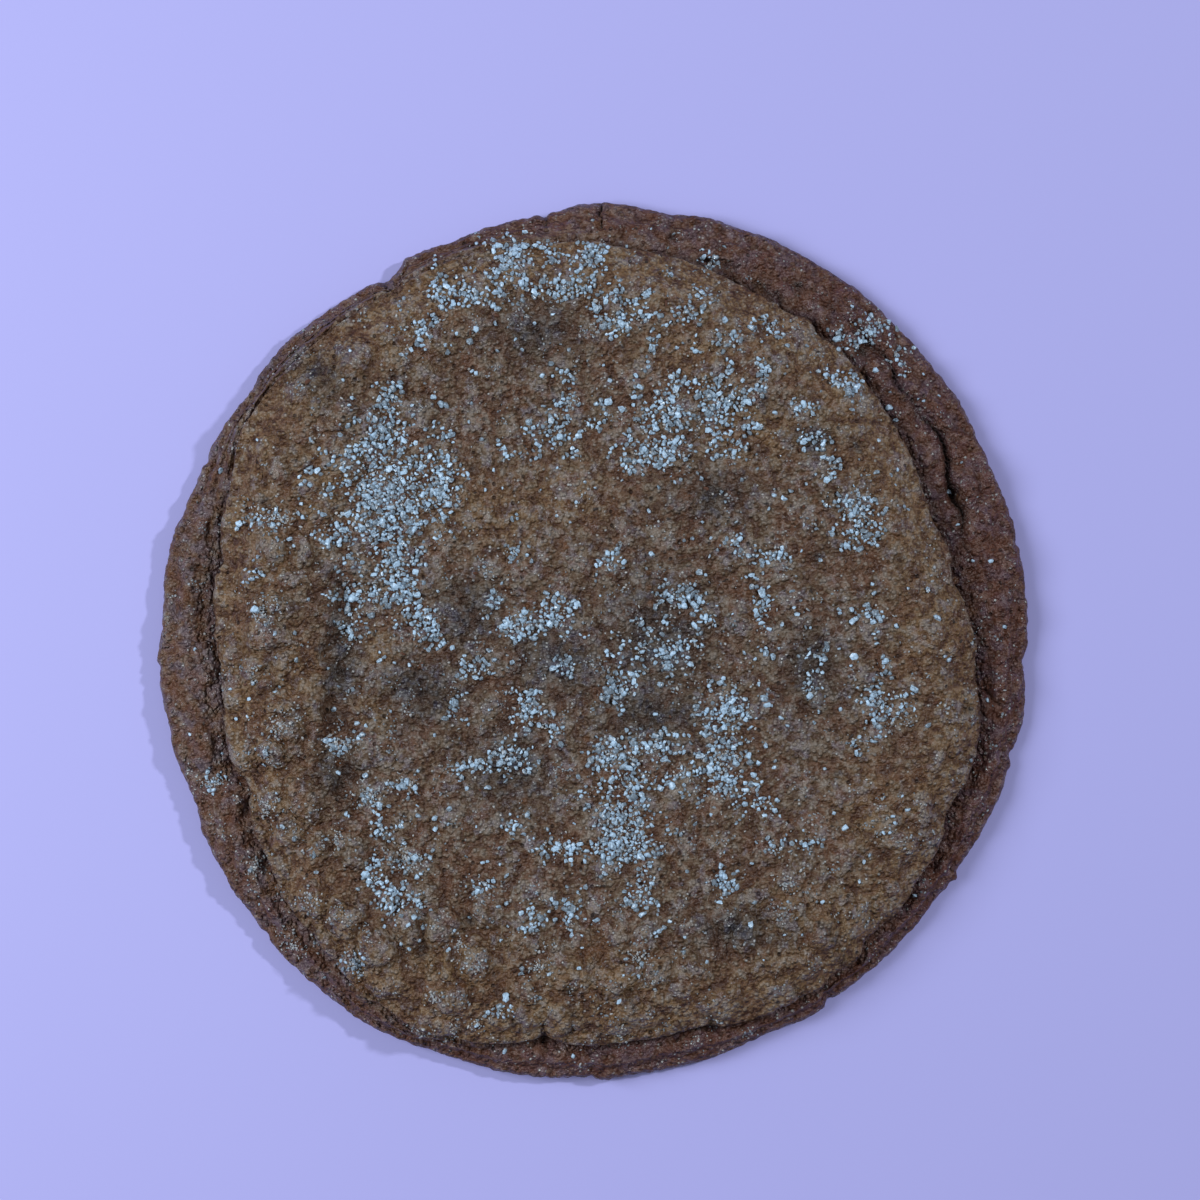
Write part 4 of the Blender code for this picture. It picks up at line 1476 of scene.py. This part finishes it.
# Camera: straight above and looking down, with its lens and sensor in millimetres
CAMERA_PLACE = (0.77 * MM, 4.27 * MM, 292.0 * MM)
CAMERA_LENS = 84.5
CAMERA_SENSOR = 36.0
CAMERA_NEAR = 0.01

FLOOR_SIZE = 4.0

# Lights: (name, degrees round, degrees up, distance, width, colour)
WINDOW = ("window", 172.0, 45.0, 0.42, 0.24, (0.88, 0.94, 1.0))
LAMP = ("lamp", 24.0, 43.0, 0.8, 0.05, (0.9, 0.95, 1.0))


def add_light(light, power):
    """A square light that faces the biscuit."""
    name, degrees, up, distance, width, tint = light
    lamp = bpy.data.lights.new(name, "AREA")
    lamp.size = width
    lamp.energy = power
    lamp.color = tint
    shown = bpy.data.objects.new(name, lamp)
    bpy.context.scene.collection.objects.link(shown)
    x, y = at(distance * math.cos(math.radians(up)), degrees)
    shown.location = (x, y, distance * math.sin(math.radians(up)))
    shown.rotation_euler = (-shown.location).to_track_quat("-Z", "Y").to_euler()


class BISCUIT_OT_stage(bpy.types.Operator):
    """Lays the pale floor and sets the soft lights and the camera"""

    bl_idname = "biscuit.stage"
    bl_label = "Set the Stage"

    def execute(self, context):
        settings = context.scene.biscuit_stage
        body = bmesh.new()
        bmesh.ops.create_grid(body, x_segments=1, y_segments=1, size=FLOOR_SIZE / 2)
        mesh = bpy.data.meshes.new("pale_floor")
        body.to_mesh(mesh)
        body.free()
        mesh.materials.append(floor_finish(settings))
        floor = bpy.data.objects.new("pale_floor", mesh)
        context.scene.collection.objects.link(floor)

        world = bpy.data.worlds.new("studio")
        world.use_nodes = True
        sky = world.node_tree.nodes["Background"]
        sky.inputs["Color"].default_value = rgba(settings.sky)
        sky.inputs["Strength"].default_value = settings.sky_strength
        context.scene.world = world
        add_light(WINDOW, settings.window_power)
        add_light(LAMP, settings.lamp_power)

        camera = bpy.data.cameras.new("camera")
        camera.lens = CAMERA_LENS
        camera.sensor_width = CAMERA_SENSOR
        camera.clip_start = CAMERA_NEAR
        shown = bpy.data.objects.new("camera", camera)
        shown.location = CAMERA_PLACE
        context.scene.collection.objects.link(shown)
        context.scene.camera = shown
        context.scene.view_settings.view_transform = "Standard"
        return {"FINISHED"}


class BISCUIT_PT_sidebar(bpy.types.Panel):
    bl_idname = "BISCUIT_PT_sidebar"
    bl_label = "Pumpkin Snickerdoodle"
    bl_space_type = "VIEW_3D"
    bl_region_type = "UI"
    bl_category = "Biscuit"

    def draw(self, context):
        for operator, settings in STEPS:
            box = self.layout.box()
            group = getattr(context.scene, settings)
            for name in group.__annotations__:
                box.prop(group, name)
            box.operator(operator)


# Each step of the making, with the settings that it reads
STEPS = (
    ("biscuit.crust", "biscuit_crust"),
    ("biscuit.sugar", "biscuit_sugar"),
    ("biscuit.spice", "biscuit_spice"),
    ("biscuit.stage", "biscuit_stage"),
)
SETTINGS = {
    "biscuit_crust": CrustSettings,
    "biscuit_sugar": SugarSettings,
    "biscuit_spice": SpiceSettings,
    "biscuit_stage": StageSettings,
}
CLASSES = (
    *SETTINGS.values(),
    BISCUIT_OT_crust,
    BISCUIT_OT_sugar,
    BISCUIT_OT_spice,
    BISCUIT_OT_stage,
    BISCUIT_PT_sidebar,
)


def register():
    for made in CLASSES:
        bpy.utils.register_class(made)
    for name, group in SETTINGS.items():
        setattr(bpy.types.Scene, name, bpy.props.PointerProperty(type=group))


def unregister():
    for name in SETTINGS:
        delattr(bpy.types.Scene, name)
    for made in reversed(CLASSES):
        bpy.utils.unregister_class(made)


def main():
    register()
    bpy.ops.biscuit.crust()
    bpy.ops.biscuit.sugar()
    bpy.ops.biscuit.spice()
    bpy.ops.biscuit.stage()


if __name__ == "__main__":
    main()
